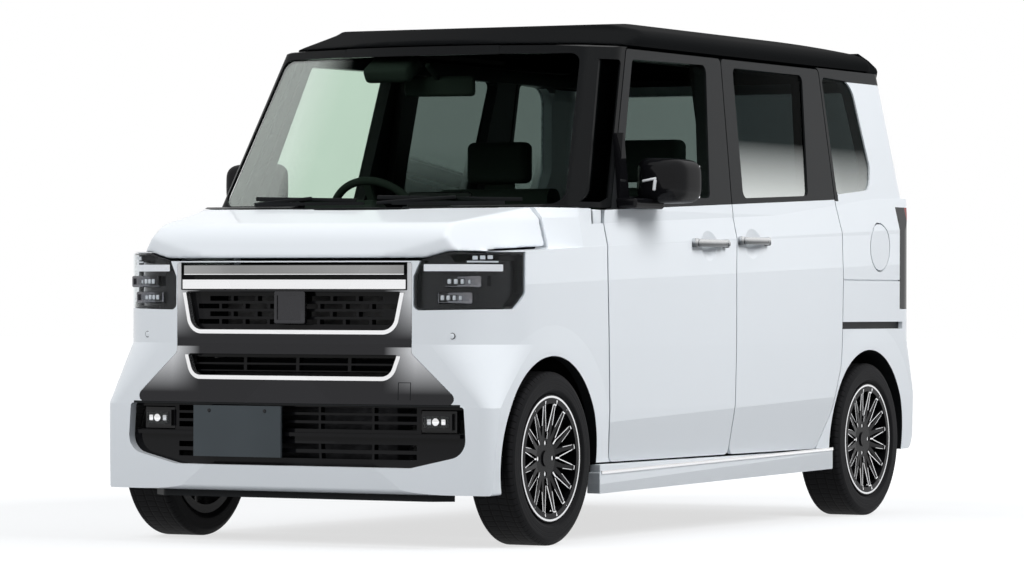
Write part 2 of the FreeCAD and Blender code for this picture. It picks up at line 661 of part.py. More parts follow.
# ---- running gear --------------------------------------------------------------------------
def build_wheels():
    """Four tyres and four spoked rims, and the front knuckles."""
    half = TYRE_WIDTH / 2
    tyre = ((-68, 191, 0), (68, 191, 0), (68, 208, 3), (half, 222, 10), (half, 262, 14),
            (70, TYRE_RADIUS, 12), (-70, TYRE_RADIUS, 12), (-half, 262, 14), (-half, 222, 10),
            (-68, 208, 3))
    barrel = ((-76, 178, 0), (76, 178, 0), (76, 207, 3), (68, 207, 3), (68, 191, 0),
              (-68, 191, 0), (-68, 207, 3), (-76, 207, 3))
    found = {}
    for side, sign in (("left", 1), ("right", -1)):
        for end, axle in (("front", FRONT_AXLE), ("rear", REAR_AXLE)):
            centre = (TRACK_HALF, axle, TYRE_RADIUS)
            rim = fused([turned(barrel, (0, 0, 0))] + wheel_spokes())
            rim.translate(Vector(*centre))
            rubber = turned(tyre, centre)
            if sign < 0:
                rim = mirrored(rim)
                rubber = mirrored(rubber)
            found[f"tyre_{end}_{side}"] = rubber
            found[f"rim_{end}_{side}"] = rim
    upright = block((560, -1310, 200), (598, -1220, 385))
    arm = block((520, -1290, 385), (598, -1240, 410))
    hub = rod(58, (598, FRONT_AXLE, TYRE_RADIUS), (652, FRONT_AXLE, TYRE_RADIUS))
    knuckle = fused([upright, arm, hub])
    found["knuckle_left"] = knuckle
    found["knuckle_right"] = mirrored(knuckle)
    return found


def polar(distance, degrees):
    """Y and Z of a point at an angle from straight up, about the origin."""
    angle = math.radians(degrees)
    return distance * math.sin(angle), distance * math.cos(angle)


def spoke_arm(centre, lean):
    """One arm of a forked spoke, wider at its foot and bent towards the next fork."""
    tip = centre + lean * FORK_TIP
    foot = centre + lean * FORK_FOOT
    corners = []
    for distance, angle, half in ((186, tip, 6), (112, (tip + foot) / 2, 7), (56, foot, 10)):
        corners.append((distance, angle, half))
    left = [polar(r, angle - math.degrees(half / r)) for r, angle, half in corners]
    right = [polar(r, angle + math.degrees(half / r)) for r, angle, half in corners]
    return prism("x", left + right[::-1], 40, RIM_FACE)


def wheel_spokes():
    """Hub, brake disc and eight forked spokes in a shallow dish, about the origin's X axis."""
    hub = Part.makeCylinder(66, 30, Vector(30, 0, 0), Vector(1, 0, 0))
    arms = []
    for index in range(SPOKE_COUNT):
        for lean in (-1, 1):
            arms.append(spoke_arm(index * 360 / SPOKE_COUNT, lean))
    dish = turned(((HUB_FACE, 0, 0), (90, 0, 0), (90, 184, 0), (RIM_FACE - 2, 184, 0),
                   (HUB_FACE, 64, 0)), (0, 0, 0))
    face = fused([hub] + arms).cut(dish)
    for index in range(LUG_COUNT):
        y, z = polar(LUG_CIRCLE / 2, index * 360 / LUG_COUNT)
        face = face.cut(rod(LUG_POCKET, (HUB_FACE - 14, y, z), (90, y, z)))
    cap = rod(26, (40, 0, 0), (HUB_FACE + 5, 0, 0))
    boss = rod(62, (2, 0, 0), (36, 0, 0))
    disc = rod(135, (8, 0, 0), (26, 0, 0))
    return [face, cap, boss, disc]


def build_running_gear():
    """Front struts, arms and subframe, and the rear beam with its drums and stub axles."""
    beam = block((-400, -1310, 190), (400, -1220, 250))
    pieces = [beam]
    for sign in (1, -1):
        arm = prism("z", ((395, -1300, 0), (560, -1285, 10), (560, -1245, 10), (395, -1230, 0)),
                    160, 190)
        strut = rod(22, (520, -1265, 416), (520, -1265, 640))
        link = block((380, -1300, 160), (400, -1230, 200))
        for each in (arm, strut, link):
            pieces.append(each if sign > 0 else mirrored(each))
    front = pieces
    rear = [block((-520, 1010, 215), (520, 1070, 275))]
    for sign in (1, -1):
        trail = prism("x", ((980, 225, 20), (980, 275, 20), (1290, 310, 20), (1290, 250, 20)),
                      480, 540)
        drum = rod(105, (540, REAR_AXLE, TYRE_RADIUS), (648, REAR_AXLE, TYRE_RADIUS))
        for each in (trail, drum):
            rear.append(each if sign > 0 else mirrored(each))
    return {"front_suspension": fused(front), "rear_axle": fused(rear)}


def build_underbody():
    """Floor, sills, bulkhead, front rails and towers, and the rear wheel housings."""
    pieces = [
        block((-645, -930, 205), (645, 960, FLOOR_Z + 10)),
        block((-640, 945, FLOOR_Z), (640, 960, 445)),
        block((-640, 945, 430), (640, 1575, 445)),
        block((-645, -940, 205), (645, -925, 1040)),
        block((-400, -1604, 560), (400, -1580, 600)),
        block((-400, -1604, 226), (400, -1580, 262)),
    ]
    for sign in (1, -1):
        rail = block((352, -1604, 400), (395, -930, 480))
        stem = block((352, -1604, 226), (395, -1580, 600))
        tower = block((395, -1330, 640), (560, -1200, 700))
        wing = block((380, -1330, 470), (395, -930, 700))
        housing = rod(ARCH_RADIUS + 12, (440, REAR_AXLE, TYRE_RADIUS),
                      (645, REAR_AXLE, TYRE_RADIUS))
        housing = housing.common(block((400, 800, 205), (700, 1600, 700)))
        for each in (rail, stem, tower, wing, housing):
            pieces.append(each if sign > 0 else mirrored(each))
    body = fused(pieces)
    well = arch(REAR_AXLE, 455)
    body = largest(body.cut(well).cut(mirrored(well)))
    eye = block((414, 1540, 142), (426, 1632, 445))
    eye = eye.cut(rod(TOW_EYE_RADIUS, (400, 1606, 168), (440, 1606, 168)))
    pads = [block((x - 30, y - 30, 195), (x + 30, y + 30, 206))
            for x in (-600, 600) for y in (-700, 700)]
    body = body.cut(block((-550, 1000, 200), (550, 1080, 290)))
    return {"underbody": fused([body, eye] + pads)}


def build_machinery():
    """Engine block, radiator, fuel tank, exhaust and wipers."""
    engine = block((-330, -1530, 300), (330, -1120, 820))
    radiator = block((-340, -1575, 240), (340, -1545, 555))
    tank = rounded_block((-380, -260, 150), (380, 260, 204), 12)
    bend = (-410, 1100, 178)
    pipe = [rod(22, (-410, -900, 178), bend),
            Part.makeSphere(22.5, Vector(*bend)),
            rod(22, bend, (-330, 1350, 330)),
            rod(70, (-370, 1350, 330), (300, 1350, 330)),
            rod(20, (250, 1350, 330), (250, 1585, 215))]
    wipers = []
    for x in (-440, 90):
        arm = block((x, -1190, 1106), (x + 420, -1178, 1116))
        wipers.append(arm)
    return {
        "engine": engine,
        "radiator": radiator,
        "fuel_tank": tank,
        "exhaust": fused(pipe),
        "wipers": Part.makeCompound(wipers),
    }


def build_mirrors():
    """Door mirrors, each a rounded housing on a foot at the front of the door window."""
    housing = rounded_block((724, -648, 1121), (885, -480, 1262), 40)
    foot = rounded_block((640, -782, 1098), (790, -566, 1132), 10)
    fin = prism("x", ((-775, 1110, 4), (-745, 1350, 4), (-737, 1350, 4), (-690, 1110, 4)), 640, 722)
    body = fused([housing, foot, fin])
    mirror = largest(body.cut(lower_form(-1, -1)).cut(glasshouse(-1)))
    return {"mirror_left": mirror, "mirror_right": mirrored(mirror)}


def main():
    """Build every piece and write one STEP file for each node."""
    outer = lower_form(0, 0)
    thick = wall(DOOR_THICK, DOOR_THICK, FRAME_THICK)
    left = left_half(thick)
    nodes = {}
    nodes.update(build_doors(left))
    nodes.update(build_pillars(left))
    nodes.update(build_quarters(left))
    nodes.update(build_front(outer))
    nodes.update(build_roof(thick))
    nodes.update(build_glass())
    nodes.update(build_face(outer))
    nodes.update(build_rear(outer, thick))
    nodes.update(build_skirts())
    nodes.update(build_cabin())
    nodes.update(build_wheels())
    nodes.update(build_running_gear())
    nodes.update(build_underbody())
    nodes.update(build_machinery())
    nodes.update(build_mirrors())
    os.makedirs("parts", exist_ok=True)
    for name, shape in nodes.items():
        shape.exportStep(f"parts/{name}.step")
        print(name, len(shape.Solids), shape.isValid(), round(shape.Volume / 1e6, 2))


main()
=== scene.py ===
"""Looks of a tall kei wagon: finishes for every CAD piece, and the trim that the CAD leaves out.

Metres, in the car's own frame: +X is its left side, -Y its front and +Z up.
"""

import json
import logging
import math
from collections.abc import Callable, Iterable
from dataclasses import dataclass, field
from enum import Enum

import bpy
import bmesh
from mathutils import Euler, Matrix, Vector

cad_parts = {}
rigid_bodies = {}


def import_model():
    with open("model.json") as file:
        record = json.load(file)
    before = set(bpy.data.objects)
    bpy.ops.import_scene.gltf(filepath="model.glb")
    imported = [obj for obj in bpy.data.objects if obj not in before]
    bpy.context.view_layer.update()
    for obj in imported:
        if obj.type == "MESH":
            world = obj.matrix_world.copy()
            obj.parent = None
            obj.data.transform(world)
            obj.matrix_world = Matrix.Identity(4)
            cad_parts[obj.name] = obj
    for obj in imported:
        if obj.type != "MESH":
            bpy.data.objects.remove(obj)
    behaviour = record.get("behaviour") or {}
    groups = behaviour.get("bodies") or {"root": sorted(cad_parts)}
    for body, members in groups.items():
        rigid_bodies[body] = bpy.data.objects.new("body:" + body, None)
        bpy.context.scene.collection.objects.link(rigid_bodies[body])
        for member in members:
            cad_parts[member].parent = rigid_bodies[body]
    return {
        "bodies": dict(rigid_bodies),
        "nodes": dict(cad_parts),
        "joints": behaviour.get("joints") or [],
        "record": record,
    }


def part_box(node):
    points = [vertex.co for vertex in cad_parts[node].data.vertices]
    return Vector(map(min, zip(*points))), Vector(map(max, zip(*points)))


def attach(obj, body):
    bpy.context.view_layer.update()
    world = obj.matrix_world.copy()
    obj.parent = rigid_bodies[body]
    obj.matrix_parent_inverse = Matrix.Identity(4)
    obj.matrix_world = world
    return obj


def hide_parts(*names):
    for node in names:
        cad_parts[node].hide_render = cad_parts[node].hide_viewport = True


LOG = logging.getLogger("kei_wagon")
Colour = tuple[float, float, float]

# Front and rear axles along the car, their height, and the wheels' middles across it.
AXLES = (-1.265, 1.255)
AXLE_Z = 0.281
TRACK = 0.6525


# ---- material graphs ------------------------------------------------------------------------
class Graph:
    """A material's node tree, with short ways to add and join nodes."""

    def __init__(self, name: str) -> None:
        """Make an empty material.

        Args:
            name: The material's name.
        """
        self.material = bpy.data.materials.new(name)
        self.material.use_nodes = True
        self.tree = self.material.node_tree
        self.tree.nodes.clear()
        self.output = self.tree.nodes.new("ShaderNodeOutputMaterial")

    def add(self, kind: str, **values: object) -> bpy.types.Node:
        """Add a node and set its properties.

        Args:
            kind: The node's type, without the ShaderNode prefix.
            **values: Properties of the node.

        Returns:
            The new node.
        """
        node = self.tree.nodes.new("ShaderNode" + kind)
        for key, value in values.items():
            setattr(node, key, value)
        return node

    def join(self, source: bpy.types.NodeSocket, target: bpy.types.NodeSocket) -> None:
        """Link one socket to another."""
        self.tree.links.new(source, target)

    def place(self) -> bpy.types.NodeSocket:
        """Get the object coordinates."""
        return self.add("TexCoord").outputs["Object"]

    def axes(self) -> bpy.types.Node:
        """Get the object coordinates split into X, Y and Z.

        Returns:
            The node, with a socket for each.
        """
        split = self.add("SeparateXYZ")
        self.join(self.place(), split.inputs[0])
        return split

    def noise(self, scale: float, detail: float = 2.0) -> bpy.types.Node:
        """Add a noise texture over the object.

        Args:
            scale: Its scale, per metre.
            detail: Its detail.

        Returns:
            The texture node.
        """
        texture = self.add("TexNoise")
        texture.inputs["Scale"].default_value = scale
        texture.inputs["Detail"].default_value = detail
        self.join(self.place(), texture.inputs["Vector"])
        return texture

    def math(self, operation: str, first: object, second: object = None) -> bpy.types.NodeSocket:
        """Do arithmetic on sockets or numbers.

        Args:
            operation: The Math node's operation.
            first: A socket or a number.
            second: A socket, a number, or nothing.

        Returns:
            The result's socket.
        """
        node = self.add("Math", operation=operation)
        for index, value in enumerate((first, second)):
            if isinstance(value, (int, float)):
                node.inputs[index].default_value = value
            elif value is not None:
                self.join(value, node.inputs[index])
        return node.outputs[0]

    def blend(self, factor: bpy.types.NodeSocket, low: object, high: object) -> bpy.types.NodeSocket:
        """Mix two colours.

        Args:
            factor: Where the second colour shows.
            low: A colour or a socket.
            high: A colour or a socket.

        Returns:
            The mixed colour's socket.
        """
        mix = self.add("Mix", data_type="RGBA")
        self.join(factor, mix.inputs["Factor"])
        for socket, value in ((mix.inputs[6], low), (mix.inputs[7], high)):
            if isinstance(value, tuple):
                socket.default_value = (*value[:3], 1.0)
            else:
                self.join(value, socket)
        return mix.outputs[2]

    def inside(self, split: bpy.types.Node, box: tuple[float, ...]) -> bpy.types.NodeSocket:
        """Find where a box of |x|, y and z holds the surface.

        Args:
            split: The coordinates.
            box: Lowest and highest |x|, y and z.

        Returns:
            A socket that is 1 inside the box.
        """
        inside: object = 1.0
        values = (self.math("ABSOLUTE", split.outputs[0]), split.outputs[1], split.outputs[2])
        for index, value in enumerate(values):
            inside = self.math("MULTIPLY", self.math("GREATER_THAN", value, box[index * 2]), inside)
            inside = self.math("MULTIPLY", self.math("LESS_THAN", value, box[index * 2 + 1]), inside)
        return inside

    def axle_distance(self, split: bpy.types.Node) -> bpy.types.NodeSocket:
        """Measure the distance from the nearer axle's line, over the car's length and height.

        Args:
            split: The coordinates.

        Returns:
            The distance's socket, in metres.
        """
        height = self.math("SUBTRACT", split.outputs[2], AXLE_Z)
        squared = self.math("MULTIPLY", height, height)
        along = [self.math("SUBTRACT", split.outputs[1], y) for y in AXLES]
        along = self.math("MINIMUM", *[self.math("ABSOLUTE", each) for each in along])
        return self.math("SQRT", self.math("ADD", self.math("MULTIPLY", along, along), squared))

    def ramp(self, value: bpy.types.NodeSocket, low: float, high: float,
             start: float = 0.0, end: float = 1.0) -> bpy.types.NodeSocket:
        """Map a range of values onto another, with both ends held.

        Args:
            value: The value's socket.
            low: Value that gives start.
            high: Value that gives end.
            start: Result at low.
            end: Result at high.

        Returns:
            The mapped value's socket.
        """
        node = self.add("MapRange")
        self.join(value, node.inputs["Value"])
        for name, number in (("From Min", low), ("From Max", high), ("To Min", start), ("To Max", end)):
            node.inputs[name].default_value = number
        return node.outputs[0]

    def bump(self, height: bpy.types.NodeSocket, distance: float,
             strength: float = 1.0) -> bpy.types.NodeSocket:
        """Turn a height into a bumped normal.

        Args:
            height: The height's socket.
            distance: Depth in metres.
            strength: How strongly it shows.

        Returns:
            The normal's socket.
        """
        node = self.add("Bump")
        node.inputs["Distance"].default_value = distance
        node.inputs["Strength"].default_value = strength
        self.join(height, node.inputs["Height"])
        return node.outputs[0]

    def shader(self, **values: object) -> bpy.types.Node:
        """Add the main surface shader and join it to the output.

        Args:
            **values: Values of its inputs, with underscores for spaces.

        Returns:
            The shader node.
        """
        node = self.add("BsdfPrincipled")
        for key, value in values.items():
            socket = node.inputs[key.replace("_", " ")]
            if isinstance(value, bpy.types.NodeSocket):
                self.join(value, socket)
            elif isinstance(value, tuple):
                socket.default_value = (*value[:3], 1.0)
            else:
                socket.default_value = value
        self.join(node.outputs[0], self.output.inputs["Surface"])
        return node


@dataclass(frozen=True)
class Paint:
    """Car paint with fine flakes under a clear coat, black in the places given.

    The places are above a rising line, inside boxes of |x|, y and z, and inside the wheel arches.
    """

    name: str
    colour: Colour
    line: tuple[float, float, float] | None = None
    boxes: tuple[tuple[float, float, float, float, float, float], ...] = ()
    arches: bool = False
    flares: bool = False
    folds: tuple[tuple[float, float, float], ...] = ()
    dark: Colour = (0.016, 0.017, 0.018)
    shine: float = 0.06
    coat: float = 0.30
    roughness: float = 0.32
    flake_scale: float = 2400.0
    drift_scale: float = 1.6
    drift_shade: float = 0.965
    peel_scale: float = 180.0
    peel_depth: float = 0.00002
    arch_radius: float = 0.3312
    flare_inner: float = 0.345
    flare_outer: float = 0.430
    flare_depth: float = 0.008
    fold_slope: float = 0.03

    def make(self) -> bpy.types.Material:
        """Build the material.

        Returns:
            The material.
        """
        graph = Graph(self.name)
        flakes = graph.noise(self.flake_scale, 1.0)
        drift = graph.noise(self.drift_scale)
        dim = tuple(c * self.drift_shade for c in self.colour)
        tint = graph.blend(graph.math("MULTIPLY", flakes.outputs[0], drift.outputs[0]), dim, self.colour)
        split = graph.axes()
        black: object = 0.0
        for mask in self.masks(graph, split):
            black = graph.math("MAXIMUM", mask, black)
        coat: object = self.coat
        if isinstance(black, bpy.types.NodeSocket):
            tint = graph.blend(black, tint, self.dark)
            coat = graph.ramp(black, 0.0, 1.0, self.coat, 0.0)
        peel = graph.bump(graph.noise(self.peel_scale, 1.0).outputs[0], self.peel_depth, 0.2)
        shader = graph.shader(Base_Color=tint, Roughness=self.roughness, Specular_IOR_Level=self.shine,
                              Coat_Weight=coat, Coat_Roughness=0.03, Coat_Normal=peel)
        heights = self.heights(graph, split)
        if heights:
            total = heights[0]
            for height in heights[1:]:
                total = graph.math("ADD", total, height)
            graph.join(graph.bump(total, 1.0, 0.8), shader.inputs["Normal"])
        return graph.material

    def heights(self, graph: Graph, split: bpy.types.Node) -> list[bpy.types.NodeSocket]:
        """Find how far the pressed folds and arch flares stand out, in metres.

        Args:
            graph: The material's graph.
            split: Its coordinates.

        Returns:
            A socket for each fold or flare.
        """
        found = []
        if self.flares:
            found.append(graph.ramp(graph.axle_distance(split), self.flare_inner, self.flare_outer,
                                    self.flare_depth, 0.0))
        level = None
        for low, high, depth in self.folds:
            if level is None:
                slope = graph.math("MULTIPLY", split.outputs[1], self.fold_slope)
                level = graph.math("SUBTRACT", split.outputs[2], slope)
            found.append(graph.ramp(level, low, high, 0.0, depth))
        return found

    def masks(self, graph: Graph, split: bpy.types.Node) -> list[bpy.types.NodeSocket]:
        """Find where the black shows.

        Args:
            graph: The material's graph.
            split: Its coordinates.

        Returns:
            A socket for each place, which is 1 inside it.
        """
        found = []
        if self.line:
            line_y, line_z, slope = self.line
            rise = graph.math("MULTIPLY", graph.math("SUBTRACT", split.outputs[1], line_y), slope)
            rise = graph.math("ADD", rise, line_z)
            found.append(graph.math("GREATER_THAN", split.outputs[2], rise))
        for box in self.boxes:
            found.append(graph.inside(split, box))
        if self.arches:
            found.append(graph.math("LESS_THAN", graph.axle_distance(split), self.arch_radius))
        return found


@dataclass(frozen=True)
class Plastic:
    """Moulded plastic with a fine grain and faint wear."""

    name: str
    colour: Colour
    roughness: float = 0.5
    grain: float = 900.0
    depth: float = 0.0001
    coat: float = 0.0
    shine: float = 0.06
    wear_scale: float = 5.0
    wear_shade: float = 0.8

    def make(self) -> bpy.types.Material:
        """Build the material.

        Returns:
            The material.
        """
        graph = Graph(self.name)
        grain = graph.noise(self.grain, 3.0)
        wear = graph.noise(self.wear_scale)
        worn = tuple(c * self.wear_shade for c in self.colour)
        tint = graph.blend(wear.outputs[0], worn, self.colour)
        rough = graph.ramp(wear.outputs[0], 0.3, 0.7, self.roughness * 0.9, self.roughness * 1.1)
        graph.shader(Base_Color=tint, Roughness=rough, Specular_IOR_Level=self.shine,
                     Coat_Weight=self.coat, Coat_Roughness=0.03,
                     Normal=graph.bump(grain.outputs[0], self.depth, 0.4))
        return graph.material


@dataclass(frozen=True)
class Metal:
    """Bare, plated or machined metal."""

    name: str
    colour: Colour
    roughness: float = 0.15
    smear_scale: float = 40.0

    def make(self) -> bpy.types.Material:
        """Build the material.

        Returns:
            The material.
        """
        graph = Graph(self.name)
        smear = graph.noise(self.smear_scale, 3.0)
        rough = graph.ramp(smear.outputs[0], 0.3, 0.7, self.roughness * 0.8, self.roughness * 1.3)
        graph.shader(Base_Color=self.colour, Metallic=1.0, Roughness=rough)
        return graph.material


@dataclass(frozen=True)
class Glass:
    """Tinted see-through glass that is more mirror-like where it is seen at a slant.

    The cover is its mirror share seen square on. The grazing values are the slants where that
    share starts and stops growing, and its most. The painted reflection band is for side glass
    behind the middle of the car, whose mirror share is raised low down as a painted reflection:
    the heights between which it dies out, its most, and its reach: the places along the car
    between which it weakens, and the share that is left.
    """

    name: str
    tint: Colour
    cover: float = 0.0
    painted_reflection_band: tuple[float, float] | None = None
    grazing: tuple[float, float, float] = (0.57, 1.0, 0.6)
    sheen: Colour = (0.90, 0.94, 0.92)
    fade_most: float = 0.74
    fade_reach: tuple[float, float, float] = (0.95, 1.10, 0.8)

    def make(self) -> bpy.types.Material:
        """Build the material.

        Returns:
            The material.
        """
        graph = Graph(self.name)
        clear = graph.add("BsdfTransparent")
        drift = graph.ramp(graph.noise(2.0).outputs[0], 0.3, 0.7)
        dim = tuple(c * 0.98 for c in self.tint)
        graph.join(graph.blend(drift, dim, self.tint), clear.inputs[0])
        gloss = graph.shader(Base_Color=self.sheen, Metallic=1.0, Roughness=0.02)
        facing = graph.add("LayerWeight")
        facing.inputs[0].default_value = 0.5
        low, high, most = self.grazing
        share = graph.math("POWER", graph.ramp(facing.outputs["Facing"], low, high), 1.5)
        veil = graph.ramp(share, 0.0, 1.0, self.cover, most)
        # Painted reflection: low on the side glass behind the car's middle, the mirror share is raised by
        # place.
        if self.painted_reflection_band:
            split = graph.axes()
            start, end, least = self.fade_reach
            painted_reflection = graph.ramp(split.outputs[2], *self.painted_reflection_band, self.fade_most, 0.0)
            painted_reflection = graph.math("MULTIPLY", painted_reflection, graph.ramp(split.outputs[1], start, end, 1.0, least))
            painted_reflection = graph.math("MULTIPLY", painted_reflection, graph.math("GREATER_THAN", split.outputs[1], 0.0))
            veil = graph.math("MAXIMUM", veil, painted_reflection)
        mix = graph.add("MixShader")
        graph.join(veil, mix.inputs[0])
        graph.join(clear.outputs[0], mix.inputs[1])
        graph.join(gloss.outputs[0], mix.inputs[2])
        graph.join(mix.outputs[0], graph.output.inputs["Surface"])
        return graph.material


@dataclass(frozen=True)
class MaskChromePaintedHighlight:
    """Smoked chrome of the grille mask, dark in the middle, with a painted highlight at its corners."""

    name: str
    dark: Colour = (0.030, 0.030, 0.032)
    # The bright colour is a painted highlight; side, upper and lower are the ranges where it grows.
    bright: Colour = (0.62, 0.63, 0.65)
    side: tuple[float, float] = (0.345, 0.455)
    upper: tuple[float, float] = (0.665, 0.805)
    lower: tuple[float, float] = (0.490, 0.625)
    parting: float = 0.640

    def make(self) -> bpy.types.Material:
        """Build the material.

        Returns:
            The material.
        """
        graph = Graph(self.name)
        split = graph.axes()
        # Painted highlight: the colour turns bright towards the outer corners, over and under the parting.
        side = graph.ramp(graph.math("ABSOLUTE", split.outputs[0]), *self.side)
        upper = graph.ramp(split.outputs[2], *self.upper)
        lower = graph.ramp(split.outputs[2], *self.lower)
        below = graph.math("LESS_THAN", split.outputs[2], self.parting)
        lower = graph.math("MULTIPLY", lower, below)
        glow = graph.math("MULTIPLY", side, graph.math("MAXIMUM", upper, lower))
        glow = graph.math("MULTIPLY", glow, graph.ramp(graph.noise(4.0).outputs[0], 0.2, 0.8, 0.94, 1.0))
        graph.shader(Base_Color=graph.blend(glow, self.dark, self.bright), Metallic=1.0, Roughness=0.24)
        return graph.material


@dataclass(frozen=True)
class GripChromePaintedReflection:
    """Chrome of the door handles, with a painted reflection: dark below, bright along the top.

    Behind the parting are the rear handles, which sit higher by the rise.
    """

    name: str
    parting: float = 0.07
    height: float = 0.990
    rise: float = 0.012
    dark: Colour = (0.10, 0.105, 0.11)
    bright: Colour = (0.72, 0.73, 0.74)

    def make(self) -> bpy.types.Material:
        """Build the material.

        Returns:
            The material.
        """
        graph = Graph(self.name)
        split = graph.axes()
        rear = graph.math("GREATER_THAN", split.outputs[1], self.parting)
        level = graph.math("SUBTRACT", split.outputs[2], graph.math("MULTIPLY", rear, self.rise))
        level = graph.math("ADD", level, graph.math("MULTIPLY", graph.noise(60.0).outputs[0], 0.002))
        # Painted reflection: the colour turns from dark to bright up the grip, at the given height.
        lit = graph.ramp(level, self.height - 0.003, self.height + 0.008)
        graph.shader(Base_Color=graph.blend(lit, self.dark, self.bright), Metallic=1.0, Roughness=0.18)
        return graph.material


@dataclass(frozen=True)
class BarChrome:
    """Chrome of the grille's bars: bright on the lower one, smoked on the upper one."""

    name: str
    parting: float = 0.8745
    bright: Colour = (0.86, 0.86, 0.87)
    smoke: tuple[float, float] = (0.24, 0.34)

    def make(self) -> bpy.types.Material:
        """Build the material.

        Returns:
            The material.
        """
        graph = Graph(self.name)
        split = graph.axes()
        upper = graph.math("GREATER_THAN", split.outputs[2], self.parting)
        smoke = graph.ramp(graph.noise(3.0).outputs[0], 0.3, 0.7, *self.smoke)
        graph.shader(Base_Color=graph.blend(upper, self.bright, smoke), Metallic=0.9, Roughness=0.16)
        return graph.material


@dataclass(frozen=True)
class RimPaint:
    """Black paint of a road wheel, with a bright machined line round its edge."""

    name: str
    colour: Colour = (0.007, 0.007, 0.008)
    bright: Colour = (0.78, 0.78, 0.79)
    line: tuple[float, float] = (0.1962, 0.2025)
    outer_face: float = TRACK + 0.068

    def make(self) -> bpy.types.Material:
        """Build the material.

        Returns:
            The material.
        """
        graph = Graph(self.name)
        split = graph.axes()
        away = graph.axle_distance(split)
        ring = graph.math("MULTIPLY", graph.math("GREATER_THAN", away, self.line[0]),
                          graph.math("LESS_THAN", away, self.line[1]))
        outer = graph.math("GREATER_THAN", graph.math("ABSOLUTE", split.outputs[0]), self.outer_face)
        ring = graph.math("MULTIPLY", ring, outer)
        turned = graph.ramp(graph.noise(600.0).outputs[0], 0.3, 0.7, 0.24, 0.30)
        graph.shader(Base_Color=graph.blend(ring, self.colour, self.bright), Roughness=turned,
                     Metallic=ring, Specular_IOR_Level=0.05, Coat_Weight=0.12, Coat_Roughness=0.04)
        return graph.material


@dataclass(frozen=True)
class TyreRubber:
    """Tyre rubber with tread grooves round it and blocks across it, and rings on its walls.

    The grooves and rings are bumped, and also coloured darker in their hollows as painted shade.
    """

    name: str
    colour: Colour = (0.011, 0.011, 0.012)
    groove_step: float = 0.018
    block_turns: float = 12.0
    tread: tuple[float, float] = (0.268, 0.274)
    ring_step: float = 0.006
    depth: float = 0.003

    def make(self) -> bpy.types.Material:
        """Build the material.

        Returns:
            The material.
        """
        graph = Graph(self.name)
        split = graph.axes()
        away = graph.axle_distance(split)
        wide = graph.math("SUBTRACT", graph.math("ABSOLUTE", split.outputs[0]), TRACK)
        rounds = graph.math("PINGPONG", graph.math("ADD", wide, 0.2), self.groove_step)
        grooves = graph.ramp(rounds, 0.002, 0.004)
        front = graph.math("LESS_THAN", split.outputs[1], 0.0)
        middle = graph.ramp(front, 0.0, 1.0, AXLES[1], AXLES[0])
        angle = graph.math("ARCTAN2", graph.math("SUBTRACT", split.outputs[1], middle),
                           graph.math("SUBTRACT", split.outputs[2], AXLE_Z))
        lean = graph.math("MULTIPLY", graph.math("ABSOLUTE", wide), 4.0)
        turns = graph.math("MULTIPLY", angle, self.block_turns)
        blocks = graph.math("PINGPONG", graph.math("ADD", turns, lean), 0.5)
        blocks = graph.ramp(blocks, 0.06, 0.12)
        tread = graph.math("MULTIPLY", grooves, blocks)
        on_tread = graph.ramp(away, *self.tread)
        rings = graph.ramp(graph.math("PINGPONG", away, self.ring_step), 0.0008, 0.0016, 0.8, 1.0)
        height = graph.math("ADD", graph.math("MULTIPLY", tread, on_tread),
                            graph.math("MULTIPLY", rings, graph.math("SUBTRACT", 1.0, on_tread)))
        # Painted shade: the grooves and rings are coloured darker as well as bumped.
        groove_painted_shade = graph.blend(height, tuple(c * 0.35 for c in self.colour), self.colour)
        graph.shader(Base_Color=groove_painted_shade, Roughness=0.62, Specular_IOR_Level=0.08,
                     Normal=graph.bump(height, self.depth, 0.8))
        return graph.material


PEARL: Colour = (0.79, 0.825, 0.86)
# Lines of the paint: a place along the car, the height there, and the rise per metre.
BELT = (-0.858, 1.091, 0.0386)
ROOF_LINE = (1.0, 1.604, 0.0)
# Pressed folds: their lower and upper heights, and how far the upper stands out over the lower.
SHOULDER = (0.885, 1.000, -0.030)
LOWER_FOLD = (0.200, 0.415, 0.060)
SKIRT_FOLD = (0.130, 0.215, 0.032)
# Boxes that are black: lowest and highest |x|, y and z.
LINER = (0.0, 0.7036, -1.45, -0.90, 0.10, 0.86)
INNER_BUMPER = (0.0, 0.64, -1.60, -1.44, 0.10, 0.70)
INNER_DOOR = (0.0, 0.700, -0.866, 1.02, 0.20, 1.09)


